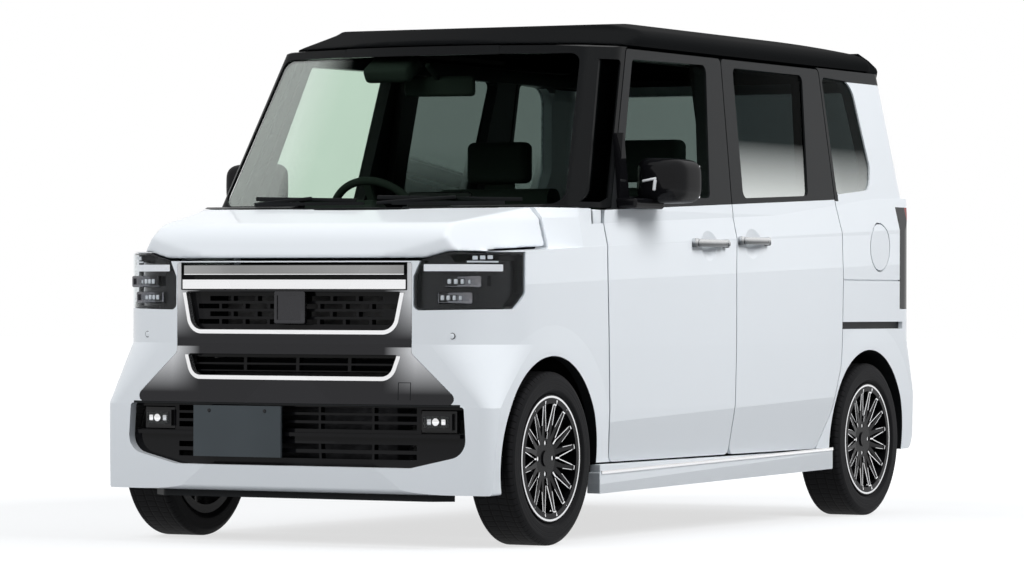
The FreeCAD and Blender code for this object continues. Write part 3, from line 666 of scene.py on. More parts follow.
class Finish(Enum):
    """Every finish on the car."""

    WHITE = Paint("pearl_white_paint", PEARL)
    FENDER = Paint("fender_paint", PEARL, boxes=(LINER,), arches=True, flares=True,
                   folds=(SHOULDER,))
    BUMPER = Paint("bumper_paint", PEARL, arches=True, flares=True,
                   boxes=((0.0, 0.60, -1.80, -1.55, 0.10, 0.1715), LINER, INNER_BUMPER,
                          (0.0, 0.612, -1.80, -1.50, 0.448, 0.4595)))
    REAR_BUMPER = Paint("rear_bumper_paint", PEARL, arches=True, flares=True,
                        boxes=((0.0, 0.677, 1.50, 1.637, 0.10, 0.70),))
    SKIRT = Paint("skirt_paint", PEARL, folds=(SKIRT_FOLD,))
    DOOR = Paint("door_two_tone", PEARL, line=BELT, boxes=(INNER_DOOR,), folds=(SHOULDER, LOWER_FOLD))
    QUARTER = Paint("quarter_two_tone", PEARL, line=ROOF_LINE, arches=True, flares=True,
                    folds=(SHOULDER,),
                    boxes=((0.0, 0.80, 0.90, 1.026, 1.158, 1.70), (0.0, 0.7225, 0.99, 1.57, 0.68, 0.73),
                           (0.0, 0.677, 0.80, 1.60, 0.10, 1.00), (0.0, 0.606, 0.80, 1.60, 0.99, 1.70)))
    GATE = Paint("tailgate_paint", PEARL, boxes=((0.0, 0.60, 1.20, 1.62, 0.60, 1.15),
                                                 (0.0, 0.60, 1.20, 1.52, 1.14, 1.70)))
    BLACK = Paint("gloss_black_paint", (0.004, 0.0045, 0.005), shine=0.0, coat=0.04, roughness=0.25)
    TRIM = Plastic("black_trim", (0.013, 0.014, 0.015), 0.55)
    GLOSS_TRIM = Plastic("gloss_black_trim", (0.005, 0.005, 0.006), 0.25, 300.0, 0.00002, 0.30, 0.0)
    SMOKED = Metal("smoked_chrome", (0.045, 0.045, 0.048), 0.24)
    MASK = MaskChromePaintedHighlight("grille_mask_painted_highlight_chrome")
    CHROME = Metal("bright_chrome", (0.80, 0.80, 0.81), 0.08)
    CLEAR_GLASS = Glass("front_glass", (0.86, 0.915, 0.875))
    SCREEN_GLASS = Glass("windscreen_glass", (0.835, 0.895, 0.85), grazing=(0.36, 0.50, 0.7))
    # The privacy glass carries a painted reflection, more mirror-like low down.
    DARK_GLASS = Glass("privacy_glass", (0.36, 0.39, 0.39), painted_reflection_band=(1.15, 1.36))
    REAR_GLASS = Glass("rear_privacy_glass", (0.36, 0.39, 0.39))
    LENS = Glass("lamp_lens", (0.955, 0.965, 0.975), 0.006)
    LAMP_DARK = Plastic("lamp_bowl", (0.010, 0.010, 0.011), 0.2, coat=0.4)
    LAMP_WHITE = Plastic("lamp_white", (0.80, 0.82, 0.84), 0.18, coat=1.0)
    FOG_LENS = Glass("fog_lens", (0.80, 0.81, 0.82), 0.02)
    TAIL = Paint("tail_lamp_lens", (0.20, 0.004, 0.006), boxes=((0.706, 0.80, 1.20, 1.612, 0.5, 1.3),),
                 shine=0.2, coat=0.5, roughness=0.15)
    HANDLE = GripChromePaintedReflection("handle_chrome_painted_reflection")
    LAMP_FRAME = Metal("lamp_frame_metal", (0.15, 0.15, 0.16), 0.20)
    BARS = BarChrome("grille_bar_chrome")
    PILLARS = Paint("pillar_two_tone", PEARL, line=BELT, dark=(0.006, 0.0065, 0.007),
                    boxes=((0.0, 0.66, -1.0, 0.3, 0.8, 1.2),))
    MACHINED = Metal("machined_alloy", (0.82, 0.82, 0.83), 0.22)
    RED_LENS = Plastic("red_lens", (0.30, 0.006, 0.008), 0.12, coat=0.8)
    RUBBER = TyreRubber("tyre_rubber")
    ALLOY = RimPaint("black_alloy")
    IRON = Metal("cast_iron", (0.08, 0.08, 0.08), 0.55)
    STEEL = Metal("plain_steel", (0.42, 0.42, 0.43), 0.35)
    DULL_STEEL = Metal("dull_steel", (0.03, 0.03, 0.032), 0.5)
    UNDERSEAL = Plastic("underseal", (0.012, 0.012, 0.013), 0.8, 250.0, 0.0004)
    CABIN = Plastic("cabin_plastic", (0.030, 0.037, 0.033), 0.7, 300.0, 0.00003)
    CLOTH = Plastic("seat_cloth", (0.040, 0.049, 0.044), 0.85, 500.0, 0.0001)
    PLATE = Plastic("blank_plate", (0.074, 0.086, 0.094), 0.45, 400.0, 0.00003)


_made: dict[Finish, bpy.types.Material] = {}


def material(finish: Finish) -> bpy.types.Material:
    """Get a finish's material, built once.

    Args:
        finish: The finish.

    Returns:
        Its material.
    """
    if finish not in _made:
        _made[finish] = finish.value.make()
    return _made[finish]


@dataclass
class Studio:
    """Camera, floor and soft light.

    The floor's glow is a distance from the car's middle and a strength, near and far. A lamp's row
    is its name, place, size and power.
    """

    eye: tuple[float, float, float] = (7.6797, -14.4974, 0.7856)
    azimuth: float = 28.2024
    elevation: float = -0.2168
    roll: float = 0.1533
    lens: float = 162.9
    width: float = 36.0
    ambient: float = 0.17
    ambient_tint: Colour = (0.86, 0.92, 1.0)
    floor_size: float = 160.0
    floor_tint: Colour = (0.27, 0.28, 0.29)
    glow_near: tuple[float, float] = (2.4, 0.70)
    glow_far: tuple[float, float] = (5.5, 1.0)
    aim: tuple[float, float, float] = (0, 0, 0.8)
    lights: tuple[tuple[str, tuple[float, float, float], float, float], ...] = (
        ("top_lamp", (0.5, -0.5, 6.5), 5.0, 30.0),
        ("left_lamp", (6.5, 0.0, 5.6), 4.5, 540.0),
        ("right_lamp", (-6.5, 1.0, 5.0), 4.5, 220.0),
        ("front_lamp", (-1.0, -8.0, 5.4), 4.5, 460.0),
        ("back_lamp", (0.5, 8.5, 5.4), 4.5, 260.0),
    )

    def build(self) -> None:
        """Set the camera, the floor and the lamps."""
        bpy.context.scene.view_settings.view_transform = "Standard"
        self.camera()
        self.floor()
        self.lamps()

    def camera(self) -> None:
        """Aim the camera along its azimuth and elevation."""
        data = bpy.data.cameras.new("camera")
        data.lens = self.lens
        data.sensor_width = self.width
        data.clip_end = 100.0
        camera = bpy.data.objects.new("camera", data)
        bpy.context.scene.collection.objects.link(camera)
        turn = Euler((math.radians(90 - self.elevation), 0, math.radians(self.azimuth))).to_matrix()
        roll = Matrix.Rotation(math.radians(self.roll), 3, "Z")
        camera.matrix_world = Matrix.Translation(self.eye) @ (turn @ roll).to_4x4()
        bpy.context.scene.camera = camera

    def floor(self) -> None:
        """Lay a pale floor that is white to the camera and still holds the car's shadow."""
        bpy.ops.object.select_all(action="DESELECT")
        bpy.ops.mesh.primitive_plane_add(size=self.floor_size, location=(0, 0, 0))
        floor = bpy.context.active_object
        floor.name = "floor"
        graph = Graph("pale_floor")
        lit = graph.add("BsdfDiffuse")
        lit.inputs[0].default_value = (*self.floor_tint, 1.0)
        glow = graph.add("Emission")
        split = graph.axes()
        squares = [graph.math("MULTIPLY", split.outputs[i], split.outputs[i]) for i in (0, 1)]
        away = graph.math("SQRT", graph.math("ADD", *squares))
        (near, dim), (far, full) = self.glow_near, self.glow_far
        graph.join(graph.ramp(away, near, far, dim, full), glow.inputs[1])
        seen = graph.add("LightPath")
        rays = graph.math("MAXIMUM", seen.outputs["Is Camera Ray"], seen.outputs["Is Glossy Ray"])
        rays = graph.math("MAXIMUM", rays, seen.outputs["Is Transmission Ray"])
        both = graph.add("AddShader")
        mix = graph.add("MixShader")
        graph.join(lit.outputs[0], both.inputs[0])
        graph.join(glow.outputs[0], both.inputs[1])
        graph.join(rays, mix.inputs[0])
        graph.join(lit.outputs[0], mix.inputs[1])
        graph.join(both.outputs[0], mix.inputs[2])
        graph.join(mix.outputs[0], graph.output.inputs["Surface"])
        floor.data.materials.append(graph.material)

    def lamps(self) -> None:
        """Set soft lamps on all sides and over the car, which show in no reflection."""
        self.world()
        for name, place, size, power in self.lights:
            data = bpy.data.lights.new(name, "AREA")
            data.size = size
            data.energy = power
            lamp = bpy.data.objects.new(name, data)
            lamp.visible_glossy = False
            bpy.context.scene.collection.objects.link(lamp)
            turn = (Vector(self.aim) - Vector(place)).to_track_quat("-Z", "Y")
            lamp.matrix_world = Matrix.Translation(place) @ turn.to_matrix().to_4x4()

    def world(self) -> None:
        """Make the world white where it is seen or mirrored, and a weak soft light elsewhere."""
        world = bpy.data.worlds.new("soft_white")
        bpy.context.scene.world = world
        world.use_nodes = True
        tree = world.node_tree
        white = tree.nodes["Background"]
        path = tree.nodes.new("ShaderNodeLightPath")
        mix = tree.nodes.new("ShaderNodeMixShader")
        soft = tree.nodes.new("ShaderNodeBackground")
        soft.inputs[0].default_value = (*self.ambient_tint, 1)
        soft.inputs[1].default_value = self.ambient
        white.inputs[0].default_value = (1, 1, 1, 1)
        white.inputs[1].default_value = 1.0
        rays = path.outputs["Is Camera Ray"]
        for name in ("Is Glossy Ray", "Is Transmission Ray"):
            either = tree.nodes.new("ShaderNodeMath")
            either.operation = "MAXIMUM"
            tree.links.new(rays, either.inputs[0])
            tree.links.new(path.outputs[name], either.inputs[1])
            rays = either.outputs[0]
        tree.links.new(rays, mix.inputs[0])
        tree.links.new(soft.outputs[0], mix.inputs[1])
        tree.links.new(white.outputs[0], mix.inputs[2])
        tree.links.new(mix.outputs[0], tree.nodes["World Output"].inputs[0])


@dataclass
class Dresser:
    """Gives each CAD piece its finish."""

    nodes: dict[str, bpy.types.Object]
    finishes: dict[str, Finish] = field(default_factory=lambda: {
        "underbody": Finish.UNDERSEAL, "roof": Finish.BLACK, "pillars": Finish.PILLARS,
        "rear_quarters": Finish.QUARTER, "front_fenders": Finish.FENDER,
        "front_bumper": Finish.BUMPER, "cowl": Finish.TRIM, "wipers": Finish.TRIM,
        "windscreen": Finish.SCREEN_GLASS, "side_windows": Finish.DARK_GLASS,
        "sliding_doors": Finish.DOOR, "side_skirts": Finish.SKIRT, "rear_bumper": Finish.REAR_BUMPER,
        "tail_lamps": Finish.TAIL, "grille_mask": Finish.MASK,
        "grille_mesh": Finish.GLOSS_TRIM, "grille_bars": Finish.BARS,
        "headlamp_bowls": Finish.LAMP_DARK, "headlamp_lenses": Finish.LENS,
        "fog_lamps": Finish.LAMP_DARK, "front_plate": Finish.PLATE, "dashboard": Finish.CABIN,
        "seats": Finish.CLOTH, "engine": Finish.IRON, "radiator": Finish.DULL_STEEL,
        "exhaust": Finish.STEEL, "fuel_tank": Finish.TRIM, "front_suspension": Finish.IRON,
        "rear_axle": Finish.IRON, "steering_wheel": Finish.CABIN, "bonnet": Finish.WHITE,
        "tailgate": Finish.GATE, "tailgate_glass": Finish.REAR_GLASS, "spoiler": Finish.BLACK,
        "fuel_lid": Finish.WHITE,
    })

    def build(self) -> None:
        """Dress every node."""
        for name, node in self.nodes.items():
            finish = self.finish_of(name)
            node.data.materials.clear()
            node.data.materials.append(material(finish))
            LOG.info("%s: %s", name, finish.name)

    def finish_of(self, name: str) -> Finish:
        """Find the finish of a node, also where left and right pieces share one.

        Args:
            name: The node's name.

        Returns:
            Its finish.
        """
        for start, finish in (("tyre_", Finish.RUBBER), ("rim_", Finish.ALLOY),
                              ("knuckle_", Finish.IRON), ("front_door_", Finish.DOOR),
                              ("door_glass_", Finish.CLEAR_GLASS), ("mirror_", Finish.GLOSS_TRIM)):
            if name.startswith(start):
                return finish
        return self.finishes[name]


# ---- bench tools ----------------------------------------------------------------------------
Point = tuple[float, float, float]
OUTWARD = Vector((1, 0, 0))
FORWARD = Vector((0, -1, 0))
BACKWARD = Vector((0, 1, 0))
ORIGIN = (0.0, 0.0, 0.0)


class Bench:
    """Modelling steps shared by all the sub-assemblies."""

    @staticmethod
    def hold(piece: bpy.types.Object) -> None:
        """Select one piece alone and make it the active one.

        Args:
            piece: The piece.
        """
        bpy.ops.object.select_all(action="DESELECT")
        piece.select_set(True)
        bpy.context.view_layer.objects.active = piece

    @staticmethod
    def settle(piece: bpy.types.Object) -> None:
        """Move a piece's place, turn and scale into its mesh."""
        Bench.hold(piece)
        bpy.ops.object.transform_apply(location=True, rotation=True, scale=True)

    @staticmethod
    def shift(piece: bpy.types.Object, chosen: Callable[[Vector], bool], move: Point) -> None:
        """Move the part of a piece that is picked by its place.

        Args:
            piece: The piece.
            chosen: Tells whether a place is in that part.
            move: How far it moves.
        """
        Bench.hold(piece)
        bpy.ops.object.mode_set(mode="EDIT")
        bpy.ops.mesh.select_all(action="DESELECT")
        mesh = bmesh.from_edit_mesh(piece.data)
        for vertex in mesh.verts:
            if chosen(vertex.co):
                vertex.select_set(True)
        bmesh.update_edit_mesh(piece.data)
        bpy.ops.transform.translate(value=move)
        bpy.ops.object.mode_set(mode="OBJECT")

    @staticmethod
    def cube(centre: Point, size: Point, turn: Iterable[float], bevel: float,
             segments: int) -> bpy.types.Object:
        """Add a cube at its size and place, and round its edges.

        Args:
            centre: Its middle.
            size: Its size along X, Y and Z before it is turned.
            turn: Its turn about X, Y and Z, in radians.
            bevel: How far its edges are rounded.
            segments: How finely its edges are rounded.

        Returns:
            The rounded cube.
        """
        bpy.ops.object.select_all(action="DESELECT")
        bpy.ops.mesh.primitive_cube_add(size=1, location=centre, scale=size, rotation=turn)
        piece = bpy.context.active_object
        Bench.settle(piece)
        bpy.ops.object.mode_set(mode="EDIT")
        bpy.ops.mesh.select_all(action="SELECT")
        bpy.ops.mesh.bevel(offset=bevel, segments=segments, affect="EDGES")
        bpy.ops.object.mode_set(mode="OBJECT")
        return piece

    @staticmethod
    def block(centre: Point, size: Point, bevel: float, turn: Point = (0, 0, 0),
              segments: int = 3) -> bpy.types.Object:
        """Make a rounded block whose turn is given in degrees."""
        return Bench.cube(centre, size, [math.radians(angle) for angle in turn], bevel, segments)

    @staticmethod
    def bar(start: Point, end: Point, width: float, height: float,
            bevel: float) -> bpy.types.Object:
        """Make a rounded bar between two points.

        Args:
            start: One end.
            end: The other end.
            width: Its level width.
            height: Its other width.
            bevel: How far its edges are rounded.

        Returns:
            The bar.
        """
        run = Vector(end) - Vector(start)
        turn = run.to_track_quat("Z", "Y").to_euler()
        return Bench.cube((Vector(start) + Vector(end)) / 2, (width, height, run.length), turn, bevel, 2)

    @staticmethod
    def drum(centre: Point, radius: float, depth: float, facing: Vector, bevel: float,
             sides: int = 32) -> bpy.types.Object:
        """Make a drum with its rims rounded.

        Args:
            centre: Its middle.
            radius: Its radius.
            depth: Its length.
            facing: The direction of its axis.
            bevel: How far its rims are rounded.
            sides: How many sides it has.

        Returns:
            The drum.
        """
        bpy.ops.object.select_all(action="DESELECT")
        turn = facing.to_track_quat("Z", "Y").to_euler()
        bpy.ops.mesh.primitive_cylinder_add(vertices=sides, radius=radius, depth=depth,
                                            location=centre, rotation=turn)
        piece = bpy.context.active_object
        Bench.settle(piece)
        bpy.ops.object.mode_set(mode="EDIT")
        bpy.ops.mesh.select_all(action="DESELECT")
        mesh = bmesh.from_edit_mesh(piece.data)
        for edge in mesh.edges:
            along = (edge.verts[0].co - edge.verts[1].co).normalized()
            if abs(along.dot(facing)) < 0.5:
                edge.select_set(True)
        bmesh.update_edit_mesh(piece.data)
        bpy.ops.mesh.bevel(offset=bevel, segments=2, affect="EDGES")
        bpy.ops.object.mode_set(mode="OBJECT")
        return piece

    @staticmethod
    def sink(piece: bpy.types.Object, facing: Vector, border: float, depth: float) -> None:
        """Sink the face of a piece inside a border.

        Args:
            piece: The piece.
            facing: The way the face points.
            border: Width left round it.
            depth: How deep it goes.
        """
        Bench.hold(piece)
        bpy.ops.object.mode_set(mode="EDIT")
        bpy.ops.mesh.select_all(action="DESELECT")
        mesh = bmesh.from_edit_mesh(piece.data)
        for face in mesh.faces:
            if face.normal.dot(facing) > 0.995:
                face.select_set(True)
        bmesh.update_edit_mesh(piece.data)
        bpy.ops.mesh.inset(thickness=border)
        bpy.ops.mesh.extrude_region_move(TRANSFORM_OT_translate={"value": -facing * depth})
        bpy.ops.object.mode_set(mode="OBJECT")

    @staticmethod
    def cling(centre: Point, size: tuple[float, float], facing: Vector,
              target: bpy.types.Object, lift: float, thick: float,
              cuts: tuple[int, int] = (24, 4)) -> bpy.types.Object:
        """Lay a thin strip on a curved piece.

        Args:
            centre: Its middle, well clear of the target.
            size: Its width and height.
            facing: The way that it faces.
            target: What it lies on.
            lift: Its height over the target's surface, negative for behind it.
            thick: Its thickness.
            cuts: Its divisions along its width and height.

        Returns:
            The strip.
        """
        bpy.ops.object.select_all(action="DESELECT")
        bpy.ops.mesh.primitive_grid_add(x_subdivisions=cuts[0], y_subdivisions=cuts[1], size=1,
                                        location=centre,
                                        rotation=facing.to_track_quat("Z", "Y").to_euler())
        piece = bpy.context.active_object
        piece.scale = (size[0], size[1], 1)
        Bench.settle(piece)
        wrap = piece.modifiers.new("wrap", "SHRINKWRAP")
        wrap.wrap_method = "PROJECT"
        wrap.use_negative_direction = True
        wrap.use_positive_direction = False
        wrap.target = target
        wrap.offset = lift
        bpy.ops.object.modifier_apply(modifier=wrap.name)
        shell = piece.modifiers.new("shell", "SOLIDIFY")
        shell.thickness = thick
        shell.offset = 1.0
        bpy.ops.object.modifier_apply(modifier=shell.name)
        return piece

    @staticmethod
    def joined(pieces: list[bpy.types.Object]) -> bpy.types.Object:
        """Join pieces into one mesh.

        Args:
            pieces: The pieces.

        Returns:
            The first piece, which now holds them all.
        """
        Bench.hold(pieces[0])
        for piece in pieces[1:]:
            piece.select_set(True)
        bpy.ops.object.join()
        return pieces[0]

    @staticmethod
    def copied(piece: bpy.types.Object) -> bpy.types.Object:
        """Copy a piece, with its own mesh.

        Args:
            piece: The piece.

        Returns:
            The copy.
        """
        Bench.hold(piece)
        bpy.ops.object.duplicate()
        return bpy.context.active_object

    @staticmethod
    def spread(piece: bpy.types.Object, places: Iterable[Point]) -> bpy.types.Object:
        """Copy a piece made at the origin to several places.

        Args:
            piece: The piece, which is removed afterwards.
            places: The places.

        Returns:
            The copies, joined.
        """
        copies = []
        for place in places:
            copy = Bench.copied(piece)
            copy.location = place
            Bench.settle(copy)
            copies.append(copy)
        bpy.data.objects.remove(piece)
        return Bench.joined(copies)

    @staticmethod
    def mirror(piece: bpy.types.Object) -> bpy.types.Object:
        """Copy a left-hand piece to the right-hand side.

        Args:
            piece: The left-hand piece.

        Returns:
            The copy.
        """
        copy = Bench.copied(piece)
        copy.scale.x = -1
        Bench.settle(copy)
        bpy.ops.object.mode_set(mode="EDIT")
        bpy.ops.mesh.select_all(action="SELECT")
        bpy.ops.mesh.normals_make_consistent(inside=False)
        bpy.ops.object.mode_set(mode="OBJECT")
        return copy

    @staticmethod
    def finish(piece: bpy.types.Object, name: str, body: str, finish: Finish, slot: str) -> None:
        """Name, smooth and dress a piece, and let it ride on its body.

        Args:
            piece: The piece.
            name: Its name.
            body: The body that it rides on.
            finish: Its finish.
            slot: The record's material slot for it, which is not used.
        """
        Bench.hold(piece)
        bpy.ops.object.shade_smooth_by_angle(angle=math.radians(35))
        piece.name = name
        piece.data.name = name
        piece.data.materials.clear()
        piece.data.materials.append(material(finish))
        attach(piece, body)
        LOG.info("%s: %s", name, finish.name)

    @staticmethod
    def pair(piece: bpy.types.Object, name: str, finish: Finish, slot: str,
             body: str = "root") -> None:
        """Finish a left-hand piece and its mirrored copy.

        Args:
            piece: The left-hand piece.
            name: Their name, without the side.
            finish: Their finish.
            slot: The record's material slot for them.
            body: The body that they ride on, without the side where each side has its own.
        """
        right = Bench.mirror(piece)
        for each, side in ((piece, "left"), (right, "right")):
            own = body if body == "root" else f"{body}_{side}"
            Bench.finish(each, f"{name}_{side}", own, finish, slot)


# ---- sub-assemblies -------------------------------------------------------------------------
@dataclass
class DoorHandles:
    """Bright pull handles over the round cups of the four side doors.

    The places of the front and rear handles are their ends along Y, and their height.
    """

    front: tuple[float, float, float] = (-0.244, 0.016, 0.990)
    rear: tuple[float, float, float] = (0.122, 0.357, 1.002)
    reach: float = 0.7375
    proud: float = 0.026
    thick: float = 0.014
    height: float = 0.027
    ahead: float = 0.012
    shorter: float = 0.040
    rounding: float = 0.006
    foot: Point = (0.022, 0.026, 0.031)
    foot_out: float = 0.008
    foot_start: float = 0.006
    foot_end: float = 0.016
    cover_radius: float = 0.009
    cover_out: float = 0.021

    def build(self) -> None:
        """Build all four handles."""
        for name, place, body in (("front", self.front, "front_door"), ("rear", self.rear, "root")):
            feet = self.feet(place)
            if name == "front":
                feet = Bench.joined([feet, self.lock(place)])
            Bench.pair(self.grip(place), f"{name}_handle_grip", Finish.HANDLE, "chrome", body)
            Bench.pair(feet, f"{name}_handle_feet", Finish.HANDLE, "chrome", body)

    def grip(self, place: tuple[float, float, float]) -> bpy.types.Object:
        """Make the bar of a left-hand handle, with its face sunk.

        Args:
            place: The handle's place.

        Returns:
            The bar.
        """
        start, end, z = place
        centre = (self.reach + self.proud - self.thick / 2, (start + end) / 2 - self.ahead, z)
        size = (self.thick, end - start - self.shorter, self.height)
        bar = Bench.block(centre, size, self.rounding, segments=4)
        Bench.sink(bar, OUTWARD, border=0.004, depth=0.001)
        return bar

    def feet(self, place: tuple[float, float, float]) -> bpy.types.Object:
        """Make the ends that hold the bar of a left-hand handle to its door.

        Args:
            place: The handle's place.

        Returns:
            Both ends.
        """
        start, end, z = place
        x = self.reach + self.foot_out
        return Bench.spread(Bench.block(ORIGIN, self.foot, self.rounding),
                            ((x, start + self.foot_start, z), (x, end - self.foot_end, z)))

    def lock(self, place: tuple[float, float, float]) -> bpy.types.Object:
        """Make the round key cover at the end of the front left handle.

        Args:
            place: The handle's place.

        Returns:
            The cover.
        """
        _, end, z = place
        return Bench.drum((self.reach + self.cover_out, end - self.foot_end, z), self.cover_radius,
                          depth=0.006, facing=OUTWARD, bevel=0.001)


@dataclass
class SkirtTrim:
    """Bright strip along the top of each side skirt."""

    start: Point = (0.738, -0.925, 0.2255)
    end: Point = (0.738, 0.922, 0.2545)
    width: float = 0.005
    height: float = 0.012

    def build(self) -> None:
        """Build both strips."""
        strip = Bench.bar(self.start, self.end, self.width, self.height, bevel=0.0015)
        Bench.pair(strip, "skirt_strip", Finish.CHROME, "chrome")


@dataclass
class Headlamps:
    """Bright strips, running-lamp shapes and lens modules inside each headlamp.

    A running-lamp row is a place along the lamp, a width, a height over the ground and a height.
    A module row is its lowest and highest x, and its lowest and highest z.
    """

    facing: Vector = field(default_factory=lambda: Vector((0.50, -0.866, 0)))
    middle: tuple[float, float] = (0.60, -1.62)
    strip_z: float = 0.894
    strip_size: tuple[float, float] = (0.250, 0.022)
    clear: float = 0.5
    behind: float = -0.010
    thick: float = 0.003
    running: tuple[tuple[float, float, float, float], ...] = (
        (0.060, 0.100, 0.9135, 0.005), (0.036, 0.016, 0.9260, 0.012),
        (0.060, 0.016, 0.9270, 0.012), (0.084, 0.016, 0.9280, 0.012))
    modules: tuple[tuple[float, float, float, float], ...] = (
        (0.533, 0.655, 0.831, 0.869), (0.512, 0.630, 0.779, 0.817))
    sweep: float = math.atan2(0.133, 1.0)
    frame_behind: float = 0.022
    frame_depth: float = 0.020
    cells: int = 5
    cell_behind: float = 0.016
    cell_depth: float = 0.010
    cell_share: tuple[float, float] = (0.6, 0.42)
    margin: float = 0.013

    def build(self) -> None:
        """Build both lamps' insides."""
        Bench.pair(self.strip(), "lamp_strip", Finish.CHROME, "chrome")
        Bench.pair(self.signature(), "lamp_signature", Finish.LAMP_WHITE, "lamp_lens")
        Bench.pair(self.module_frames(), "lamp_module_frames", Finish.LAMP_FRAME, "smoked_chrome")
        Bench.pair(self.module_cells(), "lamp_module_cells", Finish.LAMP_WHITE, "lamp_lens")

    def strip(self) -> bpy.types.Object:
        """Make the long bright strip across a left-hand lamp, just behind its lens.

        Returns:
            The strip.
        """
        start = Vector((*self.middle, self.strip_z)) + self.facing * self.clear
        return Bench.cling(start, self.strip_size, self.facing, cad("headlamp_lenses"), self.behind,
                           self.thick)

    def signature(self) -> bpy.types.Object:
        """Make the white running-lamp shapes above the strip of a left-hand lamp.

        Returns:
            The shapes, joined.
        """
        along = Vector((-self.facing.y, self.facing.x, 0))
        pieces = []
        for shift, width, z, height in self.running:
            start = Vector((*self.middle, z)) + along * shift + self.facing * self.clear
            pieces.append(Bench.cling(start, (width, height), self.facing, cad("headlamp_lenses"),
                                      self.behind, self.thick, (8, 2)))
        return Bench.joined(pieces)

    def module_frames(self) -> bpy.types.Object:
        """Make the frames round the lens modules of a left-hand lamp.

        Returns:
            The frames, joined.
        """
        frames = []
        for left, right, low, high in self.modules:
            x, z = (left + right) / 2, (low + high) / 2
            centre = (x, front_y("headlamp_lenses", x, z) + self.frame_behind, z)
            frame = Bench.block(centre, (right - left, self.frame_depth, high - low), bevel=0.006,
                                turn=(0, 0, math.degrees(self.sweep)))
            facing = Vector((math.sin(self.sweep), -math.cos(self.sweep), 0))
            Bench.sink(frame, facing, border=0.003, depth=0.008)
            frames.append(frame)
        return Bench.joined(frames)

    def module_cells(self) -> bpy.types.Object:
        """Make the small bright lenses inside the frames of a left-hand lamp.

        Returns:
            The lenses, joined.
        """
        rows = []
        wide, tall = self.cell_share
        for left, right, low, high in self.modules:
            z = (low + high) / 2
            step = (right - left - 2 * self.margin) / self.cells
            across = [left + self.margin + step * (index + 0.5) for index in range(self.cells)]
            cell = Bench.block(ORIGIN, (step * wide, self.cell_depth, (high - low) * tall), bevel=0.003)
            rows.append(Bench.spread(
                cell, [(x, front_y("headlamp_lenses", x, z) + self.cell_behind, z) for x in across]))
        return Bench.joined(rows)


